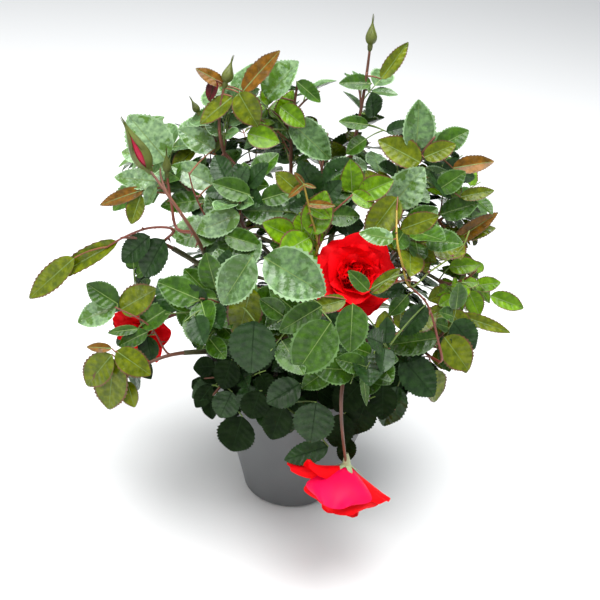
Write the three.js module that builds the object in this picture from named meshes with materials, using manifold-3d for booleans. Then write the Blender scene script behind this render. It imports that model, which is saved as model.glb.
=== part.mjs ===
// A rose bush with red double blooms in its plastic nursery pot.
// Millimetres, +Z up. The origin is the centre of the pot's flat underside, and -Y is the front.
import * as THREE from "three";
import { mergeVertices } from "three/addons/utils/BufferGeometryUtils.js";
import Module from "manifold-3d";

const wasm = await Module();
wasm.setup();

// Clearance between pieces that touch on the real plant.
const GAP = 0.3;
const TINIEST_EDGE = 0.02;

// The pot: a tapered tub with a wider collar and a rolled lip.
const POT_HEIGHT = 190;
const POT_LIP_RADIUS = 110;
const POT_LIP_HEIGHT = 7;
const POT_COLLAR_HEIGHT = 40;
const POT_COLLAR_FOOT_RADIUS = 104;
const POT_COLLAR_TOP_RADIUS = 107;
const POT_BODY_TOP_RADIUS = 96;
const POT_BODY_FOOT_RADIUS = 54;
const POT_EDGE_RADIUS = 8;
const POT_WALL = 2.6;
const POT_INNER_EDGE = 3;
const POT_SEGMENTS = 32;
const POT_EDGE_STEPS = 3;
const COMPOST_TOP = 170;
const COMPOST_GAP = 0.4;

// The woody knuckle at the foot of the canes, on the compost.
const FOOT_HEIGHT = 36;
const FOOT_FLARE_RADIUS = 27;
const FOOT_NECK_RADIUS = 18;
const FOOT_KNUCKLE_RADIUS = 25;
const FOOT_TOP_RADIUS = 18.75;
const FOOT_NECK_PLACE = 0.3;
const FOOT_KNUCKLE_PLACE = 0.6;
const FOOT_TOP_PLACE = 0.9;
const FOOT_LEAN = 0.06;
const FOOT_SEGMENTS = 16;

// Canes and boughs are tapering limbs. A cane starts inside the knuckle and a bough inside its cane.
const CANE_RADIUS = 4.2;
const CANE_TIP_RADIUS = 2.8;
const BOUGH_RADIUS = 2.7;
const BOUGH_TIP_RADIUS = 2;
const CANE_RING_RADIUS = 16;
const CANE_START_HEIGHT = 22;
const CANE_BEND_ACROSS = 0.45;
const CANE_BEND_UP = 0.62;
const BOUGH_BEND = 0.45;
const CANE_SIDES = 6;
const BOUGH_SIDES = 4;
const CANE_STEPS = 5;
const BOUGH_STEPS = 3;
const LIMB_TEST_SPACING = 3;

// Stems of the masses.
const STEM_RADIUS = 2.2;
const STEM_TIP_RADIUS = 1.5;
const STEM_SIDES = 4;
const STEM_STEPS = 3;
const STEM_BEND = 0.5;

// Stalks of the compound leaves. Lengths along a stalk are parts of its leaflet's length.
const STALK_RADIUS = 1.2;
const STALK_TIP_RADIUS = 1;
const STALK_DROOP = 0.18;
const STALK_TEST_SPACING = 4;
const PETIOLE = 0.45;
const PAIR_SPACING = 0.62;
const END_SPACING = 0.36;

// Leaflets: they are fewer than on the real plant, and larger by LEAFLET_GROWTH.
const END_LEAFLET = 1.12;
const SMALLEST_SIDE_LEAFLET = 0.8;
const LEAFLET_WIDTH_RATIO = 0.78;
const LEAFLET_GROWTH = 1.32;
const LEAFLET_THICKNESS = 1.5;
const LEAFLET_ROOT = 1.6;
const LEAFLET_ANGLE = 0.94;
const LEAFLET_ANGLE_SPREAD = 0.16;
const LEAFLET_LIFT_SPREAD = 0.16;
const LEAFLET_CLEARANCE = 2.5;
const LEAFLET_OUTWARD = 0.6;
const LIGHT_WAY = new THREE.Vector3(0, -1, 0.1);
const LIGHT_SHARE = 0.8;
const LIGHT_EDGE = 70;
const LIGHT_DEPTH = 70;
const OUTLINE_POINTS = 12;
const FEWEST_LEAFLETS = 3;
const SMALLEST_LEAF = 0.75;
const LEAF_SIZE_SPREAD = 0.35;
const LATE_LEAF_SHRINK = 0.35;
const LOWEST_LEAF_PLACE = 0.1;
const LEAST_LEAF_LIFT = 0.5;
const LEAF_LIFT_SPREAD = 0.9;
const GOLDEN_ANGLE = 2.39996;
const GOLDEN_RATIO = 0.618034;
const BUSH_CORE = new THREE.Vector3(0, 0, 270);
const OUTWARD_SHARE = 0.6;
const SPACE_MARGIN = 0.6;
const LIMB_MARGIN = 1.2;
const POT_MARGIN = 5;
const AIM_PLACES = [0.25, 0.43, 0.61, 0.79, 0.97];
const MOST_TRIES = 600;
const SKIRT_START_RADIUS = 16;
const SKIRT_START_HEIGHT = 13;
const SKIRT_RISE = 38;
const SKIRT_BEND = 0.6;
const SKIRT_CENTRE = 0.85;

// Buds and blooms.
const BUD_RADIUS = 6.5;
const BUD_LENGTH = 28;
const LARGE_BUD_RADIUS = 12;
const LARGE_BUD_LENGTH = 54;
const LARGE_BUD_LEAN = new THREE.Vector3(-0.45, -0.1, 0.88).normalize();
const BUD_SEAT = 3;
const BLOOM_SEGMENTS = 10;
const BLOOM_MIDDLE = 0.4;
const BLOOM_MARGIN = 3;
const FIRST_SEED = 54;

const CANE_COLOUR = 0x5a4a26;
const LEAF_COLOUR = 0x2f5a2a;
const POT_COLOUR = 0x5b5c5e;
const COMPOST_COLOUR = 0x2a2019;
const FOOT_COLOUR = 0x54422c;

// Canes: bearing of the start round the knuckle in degrees, and the tip where the cane enters its mass.
const CANES = [
  { name: "cane_right", bearing: 18, tip: [115, 30, 330] },
  { name: "cane_right_back", bearing: 58, tip: [28, 20, 402] },
  { name: "cane_back", bearing: 98, tip: [0, 105, 325] },
  { name: "cane_top", bearing: 138, tip: [-30, 15, 380] },
  { name: "cane_left", bearing: 178, tip: [-146, -46, 320] },
  { name: "cane_front_left", bearing: 216, tip: [-125, -78, 214] },
  { name: "cane_front", bearing: 290, tip: [-5, -100, 280] },
  { name: "cane_front_right", bearing: 340, tip: [118, -48, 238] },
];

// Boughs: the cane that each leaves, how far along it, and the tip.
const BOUGHS = [
  { name: "bough_right_fresh", cane: "cane_right", along: 0.7, tip: [140, -10, 298] },
  { name: "bough_right_top", cane: "cane_right", along: 0.45, tip: [78, 5, 358] },
  { name: "bough_back_right", cane: "cane_right_back", along: 0.35, tip: [80, 80, 310] },
  { name: "bough_back_left", cane: "cane_back", along: 0.45, tip: [-75, 75, 310] },
  { name: "bough_back_low_left", cane: "cane_back", along: 0.22, tip: [-72, 70, 240] },
  { name: "bough_back_low_right", cane: "cane_back", along: 0.3, tip: [74, 68, 240] },
  { name: "bough_top_left", cane: "cane_top", along: 0.55, tip: [-85, -5, 392] },
  { name: "bough_left_top", cane: "cane_top", along: 0.35, tip: [-120, 22, 346] },
  { name: "bough_left_bud", cane: "cane_left", along: 0.6, tip: [-112, -78, 338] },
  { name: "bough_left_bloom", cane: "cane_left", along: 0.35, tip: [-125, -36, 244] },
  { name: "bough_front_left", cane: "cane_front", along: 0.6, tip: [-58, -95, 262] },
  { name: "bough_main_bloom", cane: "cane_front", along: 0.4, tip: [42, -50, 284] },
  { name: "bough_middle", cane: "cane_right_back", along: 0.5, tip: [8, -42, 322] },
  { name: "bough_middle_left", cane: "cane_top", along: 0.5, tip: [-62, -32, 338] },
  { name: "bough_right_middle", cane: "cane_right", along: 0.58, tip: [84, -38, 338] },
  { name: "bough_front_right", cane: "cane_front_right", along: 0.5, tip: [62, -85, 250] },
  { name: "bough_hanging", cane: "cane_front_right", along: 0.3, tip: [48, -138, 252] },
];

// Masses: the limb that carries each, the tip of its stem, the reach of its space round the stem, the number
// of its compound leaves, the length of a leaflet, the pairs of leaflets, and points that leaves aim at.
const MASSES = [
  { name: "right_bud", limb: "cane_right_back", tip: [36, 30, 536], reach: 95, leaves: 2, leaflet: 36, pairs: 1,
    aims: [[8, 20, 504], [74, 30, 542]], end: "bud" },
  { name: "right_top", limb: "bough_right_top", tip: [112, 0, 455], reach: 95, leaves: 4, leaflet: 46, pairs: 2,
    aims: [[97, 0, 492], [150, 0, 470], [182, 0, 432]] },
  { name: "right_side", limb: "cane_right", tip: [162, 34, 376], reach: 84, leaves: 5, leaflet: 44, pairs: 2,
    aims: [[200, 24, 371]] },
  { name: "right_fresh", limb: "bough_right_fresh", tip: [174, -8, 303], reach: 92, leaves: 4, leaflet: 31,
    pairs: 3, aims: [[239, 0, 272]] },
  { name: "right_low", limb: "cane_front_right", tip: [150, -58, 240], reach: 98, leaves: 5, leaflet: 46,
    pairs: 2, aims: [[226, -20, 267], [178, -60, 212]] },
  { name: "top_left_bud", limb: "bough_top_left", tip: [-106, 0, 490], reach: 92, leaves: 3, leaflet: 42,
    pairs: 2, aims: [[-58, 0, 528], [-150, 5, 500]], end: "bud" },
  { name: "top_middle", limb: "cane_top", tip: [-34, 24, 488], reach: 88, leaves: 4, leaflet: 48, pairs: 2,
    aims: [[-34, 20, 515], [-5, 30, 480]] },
  { name: "left_bud", limb: "bough_left_bud", tip: [-169, -80, 420], reach: 88, leaves: 4, leaflet: 44, pairs: 1,
    aims: [[-222, -60, 372]], end: "large_bud" },
  { name: "left_top", limb: "bough_left_top", tip: [-172, 22, 404], reach: 90, leaves: 5, leaflet: 46, pairs: 2,
    aims: [[-207, 0, 440], [-222, 0, 390]] },
  { name: "far_left", limb: "cane_left", tip: [-198, -58, 332], reach: 160, leaves: 3, leaflet: 60, pairs: 1,
    aims: [[-308, -62, 280]] },
  { name: "left_bloom", limb: "bough_left_bloom", tip: [-172, -38, 216], reach: 112, leaves: 4, leaflet: 40,
    pairs: 2, aims: [[-247, -60, 224], [-238, -55, 252]], end: "bloom", bloomRadius: 36,
    facing: [-0.35, -0.8, 0.1] },
  { name: "lower_left", limb: "cane_front_left", tip: [-184, -102, 190], reach: 98, leaves: 4, leaflet: 46,
    pairs: 1, aims: [[-213, -100, 143], [-238, -95, 190]] },
  { name: "middle_top", limb: "bough_middle", tip: [6, -36, 404], reach: 88, leaves: 7, leaflet: 48, pairs: 2 },
  { name: "middle_left", limb: "bough_middle_left", tip: [-78, -58, 392], reach: 84, leaves: 6, leaflet: 44,
    pairs: 1 },
  { name: "right_middle", limb: "bough_right_middle", tip: [100, -66, 376], reach: 80, leaves: 6, leaflet: 44,
    pairs: 1 },
  { name: "front_left", limb: "bough_front_left", tip: [-78, -138, 322], reach: 92, leaves: 6, leaflet: 54,
    pairs: 2 },
  { name: "front_middle", limb: "cane_front", tip: [-5, -150, 335], reach: 88, leaves: 6, leaflet: 56, pairs: 2 },
  { name: "main_bloom", limb: "bough_main_bloom", tip: [44, -66, 318], reach: 88, leaves: 4, leaflet: 46,
    pairs: 2, end: "bloom", bloomRadius: 49, facing: [0.05, -0.8, 0.5] },
  { name: "front_right", limb: "bough_front_right", tip: [85, -135, 278], reach: 88, leaves: 6, leaflet: 50,
    pairs: 2 },
  { name: "hanging_bloom", limb: "bough_hanging", tip: [58, -152, 143], reach: 128, leaves: 1, leaflet: 40,
    pairs: 1, end: "bloom", bloomRadius: 46, facing: [0.22, -0.3, -0.92] },
  { name: "skirt_left", limb: "crown_stem", bearing: 248, tip: [-88, -110, 186], reach: 92, leaves: 6,
    leaflet: 36, pairs: 2 },
  { name: "skirt_front", limb: "crown_stem", bearing: 266, tip: [-12, -145, 198], reach: 92, leaves: 6,
    leaflet: 40, pairs: 2 },
  { name: "skirt_right", limb: "crown_stem", bearing: 316, tip: [104, -98, 184], reach: 88, leaves: 6,
    leaflet: 40, pairs: 2 },
  { name: "back_left", limb: "bough_back_left", tip: [-98, 120, 366], reach: 110, leaves: 5, leaflet: 50,
    pairs: 2 },
  { name: "back_middle", limb: "cane_back", tip: [4, 152, 396], reach: 110, leaves: 5, leaflet: 50, pairs: 2 },
  { name: "back_right", limb: "bough_back_right", tip: [108, 124, 352], reach: 110, leaves: 5, leaflet: 50,
    pairs: 2 },
  { name: "back_low_left", limb: "bough_back_low_left", tip: [-96, 122, 256], reach: 100, leaves: 6,
    leaflet: 48, pairs: 2 },
  { name: "back_low_right", limb: "bough_back_low_right", tip: [100, 118, 246], reach: 100, leaves: 6,
    leaflet: 48, pairs: 2 },
  { name: "skirt_back", limb: "crown_stem", bearing: 80, tip: [0, 142, 210], reach: 105, leaves: 6,
    leaflet: 46, pairs: 2 },
];

// Openings where the sky shows from the front: across, height and radius, in the plane through the knuckle.
const FRONT_EYE = new THREE.Vector3(-8, -1050, 800);
const SKY = [
  [-225, 475, 26], [-280, 355, 39], [-275, 180, 23], [-185, 505, 31], [-165, 535, 29], [-80, 545, 18],
  [0, 535, 25], [5, 480, 14], [105, 535, 45], [155, 490, 35], [195, 420, 31], [230, 355, 23],
  [265, 245, 27], [265, 180, 33], [215, 145, 27], [175, 70, 36], [130, 55, 17], [115, 75, 12],
  [-155, 55, 38], [-155, 120, 16], [-205, 20, 37], [-280, 40, 48], [-280, 110, 24], [-135, 165, 11],
  [-100, 5, 31], [-210, 325, 8], [-210, 250, 8],
];

const UP = new THREE.Vector3(0, 0, 1);

function vector(xyz) {
  return new THREE.Vector3(...xyz);
}

// A repeatable random number from 0 up to 1, worked out from a whole-number seed.
function randomFrom(seed) {
  let state = seed;
  return () => {
    state = (state * 1664525 + 1013904223) % 4294967296;
    return state / 4294967296;
  };
}

// A geometry as a solid that can be joined and cut.
function solidOf(geometry) {
  const bare = geometry.index ? geometry.toNonIndexed() : geometry.clone();
  bare.deleteAttribute("normal");
  bare.deleteAttribute("uv");
  const merged = mergeVertices(bare, 1e-4);
  return new wasm.Manifold(
    new wasm.Mesh({
      numProp: 3,
      vertProperties: new Float32Array(merged.attributes.position.array),
      triVerts: new Uint32Array(merged.index.array),
    }),
  );
}

// The main body of a solid, without loose scraps, sealed hollows or the tiniest edges that a join leaves.
function mainBody(solid) {
  const bodies = solid.simplify(TINIEST_EDGE).decompose();
  return bodies.reduce((best, body) => (body.volume() > best.volume() ? body : best));
}

function namedMesh(name, solid, colour, roughness) {
  const made = mainBody(solid).getMesh();
  const geometry = new THREE.BufferGeometry();
  geometry.setAttribute("position", new THREE.BufferAttribute(made.vertProperties, 3));
  geometry.setIndex(new THREE.BufferAttribute(made.triVerts, 1));
  geometry.computeVertexNormals();
  const material = new THREE.MeshStandardMaterial({ color: colour, roughness, metalness: 0 });
  const mesh = new THREE.Mesh(geometry, material);
  mesh.name = name;
  return mesh;
}

// A solid of revolution about +Z, from a closed profile of [radius, height] that starts and ends on the axis.
function turned(profile, segments) {
  const points = profile.map(([radius, height]) => new THREE.Vector2(radius, height));
  return new THREE.LatheGeometry(points, segments).rotateX(Math.PI / 2);
}

// A tube with flat ends that tapers along a curve.
function taperedTube(curve, startRadius, tipRadius, sides, steps) {
  const frames = curve.computeFrenetFrames(steps, false);
  const positions = [];
  const faces = [];
  for (let step = 0; step <= steps; step++) {
    const along = step / steps;
    const centre = curve.getPointAt(along);
    const radius = startRadius + (tipRadius - startRadius) * along;
    for (let side = 0; side < sides; side++) {
      const angle = (2 * Math.PI * side) / sides;
      const point = centre
        .clone()
        .addScaledVector(frames.normals[step], radius * Math.cos(angle))
        .addScaledVector(frames.binormals[step], radius * Math.sin(angle));
      positions.push(point.x, point.y, point.z);
    }
  }
  for (let step = 0; step < steps; step++) {
    for (let side = 0; side < sides; side++) {
      const next = (side + 1) % sides;
      const low = step * sides;
      const high = low + sides;
      faces.push(low + side, low + next, high + next);
      faces.push(low + side, high + next, high + side);
    }
  }
  const last = steps * sides;
  for (let side = 1; side < sides - 1; side++) {
    faces.push(0, side + 1, side);
    faces.push(last, last + side, last + side + 1);
  }
  const geometry = new THREE.BufferGeometry();
  geometry.setAttribute("position", new THREE.Float32BufferAttribute(positions, 3));
  geometry.setIndex(faces);
  return geometry;
}

// The outer radius of the pot at a height.
function potRadius(height) {
  if (height > POT_HEIGHT - POT_LIP_HEIGHT) return POT_LIP_RADIUS;
  const collarFoot = POT_HEIGHT - POT_COLLAR_HEIGHT;
  if (height >= collarFoot) return POT_COLLAR_TOP_RADIUS;
  const rise = Math.max(0, height - POT_EDGE_RADIUS) / (collarFoot - POT_EDGE_RADIUS);
  return POT_BODY_FOOT_RADIUS + (POT_BODY_TOP_RADIUS - POT_BODY_FOOT_RADIUS) * rise;
}

function pot() {
  const collarFoot = POT_HEIGHT - POT_COLLAR_HEIGHT;
  const lipFoot = POT_HEIGHT - POT_LIP_HEIGHT;
  const profile = [[0, 0]];
  for (let step = 0; step <= POT_EDGE_STEPS; step++) {
    const angle = (Math.PI / 2) * (step / POT_EDGE_STEPS);
    profile.push([
      POT_BODY_FOOT_RADIUS - POT_EDGE_RADIUS + POT_EDGE_RADIUS * Math.sin(angle),
      POT_EDGE_RADIUS - POT_EDGE_RADIUS * Math.cos(angle),
    ]);
  }
  profile.push(
    [POT_BODY_TOP_RADIUS, collarFoot],
    [POT_COLLAR_FOOT_RADIUS, collarFoot],
    [POT_COLLAR_TOP_RADIUS, lipFoot],
    [POT_LIP_RADIUS, lipFoot],
    [POT_LIP_RADIUS, POT_HEIGHT],
    [POT_LIP_RADIUS - POT_WALL, POT_HEIGHT],
    [POT_COLLAR_TOP_RADIUS - POT_WALL, lipFoot],
    [POT_COLLAR_FOOT_RADIUS - POT_WALL, collarFoot + POT_WALL],
    [POT_BODY_TOP_RADIUS - POT_WALL, collarFoot],
    [POT_BODY_FOOT_RADIUS - POT_WALL, POT_EDGE_RADIUS],
    [POT_BODY_FOOT_RADIUS - POT_WALL - POT_INNER_EDGE, POT_WALL],
    [0, POT_WALL],
  );
  return solidOf(turned(profile, POT_SEGMENTS));
}

// Compost that fills the pot to just below its lip, clear of the wall all round.
function compost() {
  const collarFoot = POT_HEIGHT - POT_COLLAR_HEIGHT;
  const lipFoot = POT_HEIGHT - POT_LIP_HEIGHT;
  const inside = POT_WALL + COMPOST_GAP;
  const rise = (COMPOST_TOP - collarFoot) / (lipFoot - collarFoot);
  const topRadius = POT_COLLAR_FOOT_RADIUS + (POT_COLLAR_TOP_RADIUS - POT_COLLAR_FOOT_RADIUS) * rise;
  return solidOf(
    turned(
      [
        [0, POT_WALL + GAP],
        [POT_BODY_FOOT_RADIUS - inside - POT_INNER_EDGE, POT_WALL + GAP],
        [POT_BODY_FOOT_RADIUS - inside, POT_EDGE_RADIUS + GAP],
        [POT_BODY_TOP_RADIUS - inside, collarFoot + GAP],
        [POT_COLLAR_FOOT_RADIUS - inside, collarFoot + inside + GAP],
        [topRadius - inside - GAP, COMPOST_TOP],
        [0, COMPOST_TOP],
      ],
      POT_SEGMENTS,
    ),
  );
}

// The knuckle, larger all round by a clearance when it is used as a cutter.
function crownStem(clearance) {
  const foot = COMPOST_TOP + GAP;
  const profile = [
    [0, foot - clearance],
    [FOOT_FLARE_RADIUS + clearance, foot - clearance],
    [FOOT_NECK_RADIUS + clearance, foot + FOOT_NECK_PLACE * FOOT_HEIGHT],
    [FOOT_KNUCKLE_RADIUS + clearance, foot + FOOT_KNUCKLE_PLACE * FOOT_HEIGHT],
    [FOOT_TOP_RADIUS + clearance, foot + FOOT_TOP_PLACE * FOOT_HEIGHT + clearance],
    [0, foot + FOOT_HEIGHT + clearance],
  ];
  const geometry = turned(profile, FOOT_SEGMENTS);
  const lean = new THREE.Matrix4().makeShear(0, 0, 0, 0, FOOT_LEAN, 0);
  const toFoot = new THREE.Matrix4().makeTranslation(0, 0, -foot);
  const back = new THREE.Matrix4().makeTranslation(0, 0, foot);
  return solidOf(geometry.applyMatrix4(toFoot).applyMatrix4(lean).applyMatrix4(back));
}

// A cane rises steeply from the knuckle and then arches out to its tip.
function caneCurve({ bearing, tip }) {
  const angle = THREE.MathUtils.degToRad(bearing);
  const start = new THREE.Vector3(
    CANE_RING_RADIUS * Math.cos(angle),
    CANE_RING_RADIUS * Math.sin(angle),
    COMPOST_TOP + CANE_START_HEIGHT,
  );
  const end = vector(tip);
  const bend = new THREE.Vector3(
    start.x + CANE_BEND_ACROSS * (end.x - start.x),
    start.y + CANE_BEND_ACROSS * (end.y - start.y),
    start.z + CANE_BEND_UP * (end.z - start.z),
  );
  return new THREE.QuadraticBezierCurve3(start, bend, end);
}

// A bough leaves the middle of its cane along the cane's own direction and bends to its tip.
function boughCurve({ along, tip }, cane) {
  const start = cane.getPointAt(along);
  const end = vector(tip);
  const run = start.distanceTo(end);
  const direction = end.clone().sub(start).normalize().lerp(cane.getTangentAt(along), BOUGH_BEND).normalize();
  return new THREE.QuadraticBezierCurve3(start, start.clone().addScaledVector(direction, BOUGH_BEND * run), end);
}

const limbs = new Map();
for (const cane of CANES) {
  limbs.set(cane.name, {
    curve: caneCurve(cane),
    radius: CANE_RADIUS,
    tipRadius: CANE_TIP_RADIUS,
    sides: CANE_SIDES,
    steps: CANE_STEPS,
  });
}
for (const bough of BOUGHS) {
  const parent = limbs.get(bough.cane);
  limbs.set(bough.name, {
    curve: boughCurve(bough, parent.curve),
    radius: BOUGH_RADIUS,
    tipRadius: BOUGH_TIP_RADIUS,
    sides: BOUGH_SIDES,
    steps: BOUGH_STEPS,
    parent,
  });
}

function limbSolid(limb, clearance) {
  const { curve, radius, tipRadius, sides, steps } = limb;
  return solidOf(taperedTube(curve, radius + clearance, tipRadius + clearance, sides, steps));
}

// Places along every limb with its radius there, close enough together that no leaf slips between them.
const limbPlaces = [];
for (const limb of limbs.values()) {
  const count = Math.ceil(limb.curve.getLength() / LIMB_TEST_SPACING);
  for (let index = 0; index <= count; index++) {
    const along = index / count;
    const radius = limb.radius + (limb.tipRadius - limb.radius) * along;
    limbPlaces.push({ point: limb.curve.getPointAt(along), radius });
  }
}

// Whether a point lies in a mass's own space: within its reach, and nearer to it than to every other mass.
function inSpace(point, mass) {
  const own = point.distanceToSquared(mass.centre);
  if (own > mass.reach ** 2) return false;
  return MASSES.every((other) => {
    if (other === mass) return true;
    const theirs = point.distanceToSquared(other.centre);
    return (theirs - own) / (2 * mass.centre.distanceTo(other.centre)) > SPACE_MARGIN;
  });
}

// Whether a point keeps clear of the pot and of the compost in it.
function clearOfPot(point) {
  if (point.z > POT_HEIGHT + POT_MARGIN) return true;
  return Math.hypot(point.x, point.y) > potRadius(point.z) + POT_MARGIN && point.z > POT_MARGIN;
}

// Points round the outline of a leaflet, which is a lozenge.
function outlineOf({ centre, forward, side, length, width }) {
  return Array.from({ length: OUTLINE_POINTS }, (_, index) => {
    const angle = (2 * Math.PI * index) / OUTLINE_POINTS;
    const size = Math.abs(Math.cos(angle)) + Math.abs(Math.sin(angle));
    return centre
      .clone()
      .addScaledVector(forward, ((length / 2) * Math.cos(angle)) / size)
      .addScaledVector(side, ((width / 2) * Math.sin(angle)) / size);
  });
}

// Whether a point lies within a margin of a leaflet.
function nearLeaflet(point, { centre, forward, side, normal, length, width }, margin) {
  const offset = point.clone().sub(centre);
  if (Math.abs(offset.dot(normal)) > margin + LEAFLET_THICKNESS / 2) return false;
  const along = Math.abs(offset.dot(forward)) / (length / 2 + 1.5 * margin);
  const across = Math.abs(offset.dot(side)) / (width / 2 + 1.5 * margin);
  return along + across < 1;
}

// Whether a point keeps clear of every bloom.
function clearOfBlooms(point) {
  return MASSES.every((mass) => {
    if (mass.end !== "bloom") return true;
    const facing = vector(mass.facing).normalize();
    const middle = vector(mass.tip).addScaledVector(facing, BLOOM_MIDDLE * mass.bloomRadius);
    return point.distanceTo(middle) > mass.bloomRadius + BLOOM_MARGIN;
  });
}

// Whether a leaflet keeps to its space, clear of the pot and the blooms, and lets every limb pass.
function leafletFits(leaflet, mass) {
  const free = (point) => inSpace(point, mass) && clearOfPot(point) && clearOfBlooms(point);
  if (![leaflet.centre, ...outlineOf(leaflet)].every(free)) return false;
  return !limbPlaces.some(({ point, radius }) => nearLeaflet(point, leaflet, radius + LIMB_MARGIN));
}

// Lines of sight from the front through the openings.
const skyLines = SKY.map(([x, z, radius]) => {
  const way = new THREE.Vector3(x, 0, z).sub(FRONT_EYE).normalize();
  return { line: new THREE.Ray(FRONT_EYE, way), radius };
});

// Whether a leaflet would close one of the openings where the sky shows.
function closesSky(leaflet) {
  const inLine = (point) => skyLines.some(({ line, radius }) => line.distanceToPoint(point) < radius);
  return outlineOf(leaflet).some(inLine);
}

// Whether two leaflets lie across each other.
function leafletsCross(one, other) {
  if (one.centre.distanceTo(other.centre) > (one.length + other.length) / 2) return false;
  const crosses = (first, second) =>
    [first.centre, ...outlineOf(first)].some((point) => nearLeaflet(point, second, LEAFLET_CLEARANCE));
  return crosses(one, other) || crosses(other, one);
}

// Whether a twig keeps to the space and clear of every limb.
function twigFits(curve, radius, mass) {
  const count = Math.ceil(curve.getLength() / STALK_TEST_SPACING);
  for (let index = 0; index <= count; index++) {
    const point = curve.getPointAt(index / count);
    if (!inSpace(point, mass) || !clearOfPot(point) || !clearOfBlooms(point)) return false;
    for (const place of limbPlaces) {
      if (point.distanceTo(place.point) < place.radius + radius + LIMB_MARGIN) return false;
    }
  }
  return true;
}

// The way a leaf faces: up and out from the middle of the bush, and towards the light on its front side.
function leafNormal(point, direction) {
  const outward = new THREE.Vector3(point.x, point.y, 0).normalize();
  const lit = THREE.MathUtils.clamp((LIGHT_EDGE - point.y) / LIGHT_DEPTH, 0, 1);
  const normal = UP.clone().addScaledVector(outward, LEAFLET_OUTWARD).addScaledVector(LIGHT_WAY, LIGHT_SHARE * lit);
  return normal.addScaledVector(direction, -normal.dot(direction)).normalize();
}

function leafletOf(root, forward, normal, length) {
  const side = new THREE.Vector3().crossVectors(normal, forward).normalize();
  const centre = root.clone().addScaledVector(forward, length / 2);
  return { centre, forward, side, normal, length, width: length * LEAFLET_WIDTH_RATIO };
}

// The length of a leaf's stalk, in leaflets.
function stalkRatio(pairs) {
  return PETIOLE + PAIR_SPACING * (pairs - 1) + END_SPACING;
}

// A compound leaf: an arching stalk with leaflets in pairs and one at its end. What doesn't fit is left out.
function compoundLeaf({ base, direction, leafletLength, pairs, mass, random }) {
  const stalkLength = stalkRatio(pairs) * leafletLength;
  const middle = base
    .clone()
    .addScaledVector(direction, 0.5 * stalkLength)
    .addScaledVector(leafNormal(base, direction), STALK_DROOP * stalkLength);
  const end = base.clone().addScaledVector(direction, stalkLength);
  const curve = new THREE.QuadraticBezierCurve3(base, middle, end);
  const kept = (leaflet) => (leafletFits(leaflet, mass) ? leaflet : null);
  const nodes = [];
  for (let pair = 0; pair < pairs; pair++) {
    const along = (PETIOLE + PAIR_SPACING * pair) / stalkRatio(pairs);
    const root = curve.getPointAt(along);
    const tangent = curve.getTangentAt(along);
    const normal = leafNormal(root, tangent);
    const side = new THREE.Vector3().crossVectors(normal, tangent);
    const [left, right] = [1, -1].map((hand) => {
      const angle = LEAFLET_ANGLE + LEAFLET_ANGLE_SPREAD * random();
      const forward = tangent
        .clone()
        .multiplyScalar(Math.cos(angle))
        .addScaledVector(side, hand * Math.sin(angle))
        .addScaledVector(normal, LEAFLET_LIFT_SPREAD * (random() - 0.5))
        .normalize();
      const size = leafletLength * (SMALLEST_SIDE_LEAFLET + (1 - SMALLEST_SIDE_LEAFLET) * random());
      return kept(leafletOf(root, forward, leafNormal(root, forward), size));
    });
    nodes.push({ along, left, right });
  }
  const tangent = curve.getTangentAt(1);
  const last = kept(leafletOf(end, tangent, leafNormal(end, tangent), END_LEAFLET * leafletLength));
  const leaflets = [last, ...nodes.flatMap(({ left, right }) => [left, right])].filter(Boolean);
  return { curve, nodes, last, leaflets, stalkLength };
}

// The upper and lower faces of a leaflet between its root's corners. On the right hand the faces turn over.
function addLeaflet(body, leaflet, [topBack, topFront, lowBack, lowFront], hand) {
  const { centre, forward, side, normal, length, width } = leaflet;
  const corner = (along, across, above) => {
    const point = centre.clone().addScaledVector(forward, along);
    return body.add(point.addScaledVector(side, across).addScaledVector(normal, above));
  };
  const tip = corner(length / 2, 0, 0);
  const back = corner(0, (hand * width) / 2, 0);
  const front = corner(0, (-hand * width) / 2, 0);
  const top = corner(0, 0, LEAFLET_THICKNESS / 2);
  const low = corner(0, 0, -LEAFLET_THICKNESS / 2);
  const outline = [topFront, front, tip, back, topBack];
  const under = [lowFront, front, tip, back, lowBack];
  for (let index = 0; index < 4; index++) {
    body.face(outline[index], outline[index + 1], top, hand);
    body.face(under[index + 1], under[index], low, hand);
  }
  if (topBack !== topFront) body.face(topBack, topFront, top, hand);
  if (lowBack !== lowFront) body.face(lowFront, lowBack, low, hand);
  body.face(front, topFront, lowFront, hand);
  body.face(topBack, back, lowBack, hand);
}

// Points and faces of a closed body, gathered one at a time.
function newBody() {
  const positions = [];
  const faces = [];
  return {
    add(point) {
      positions.push(point.x, point.y, point.z);
      return positions.length / 3 - 1;
    },
    face(a, b, c, hand = 1) {
      faces.push(...(hand > 0 ? [a, b, c] : [a, c, b]));
    },
    solid() {
      const vertProperties = new Float32Array(positions);
      const triVerts = new Uint32Array(faces);
      return new wasm.Manifold(new wasm.Mesh({ numProp: 3, vertProperties, triVerts }));
    },
  };
}

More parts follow.
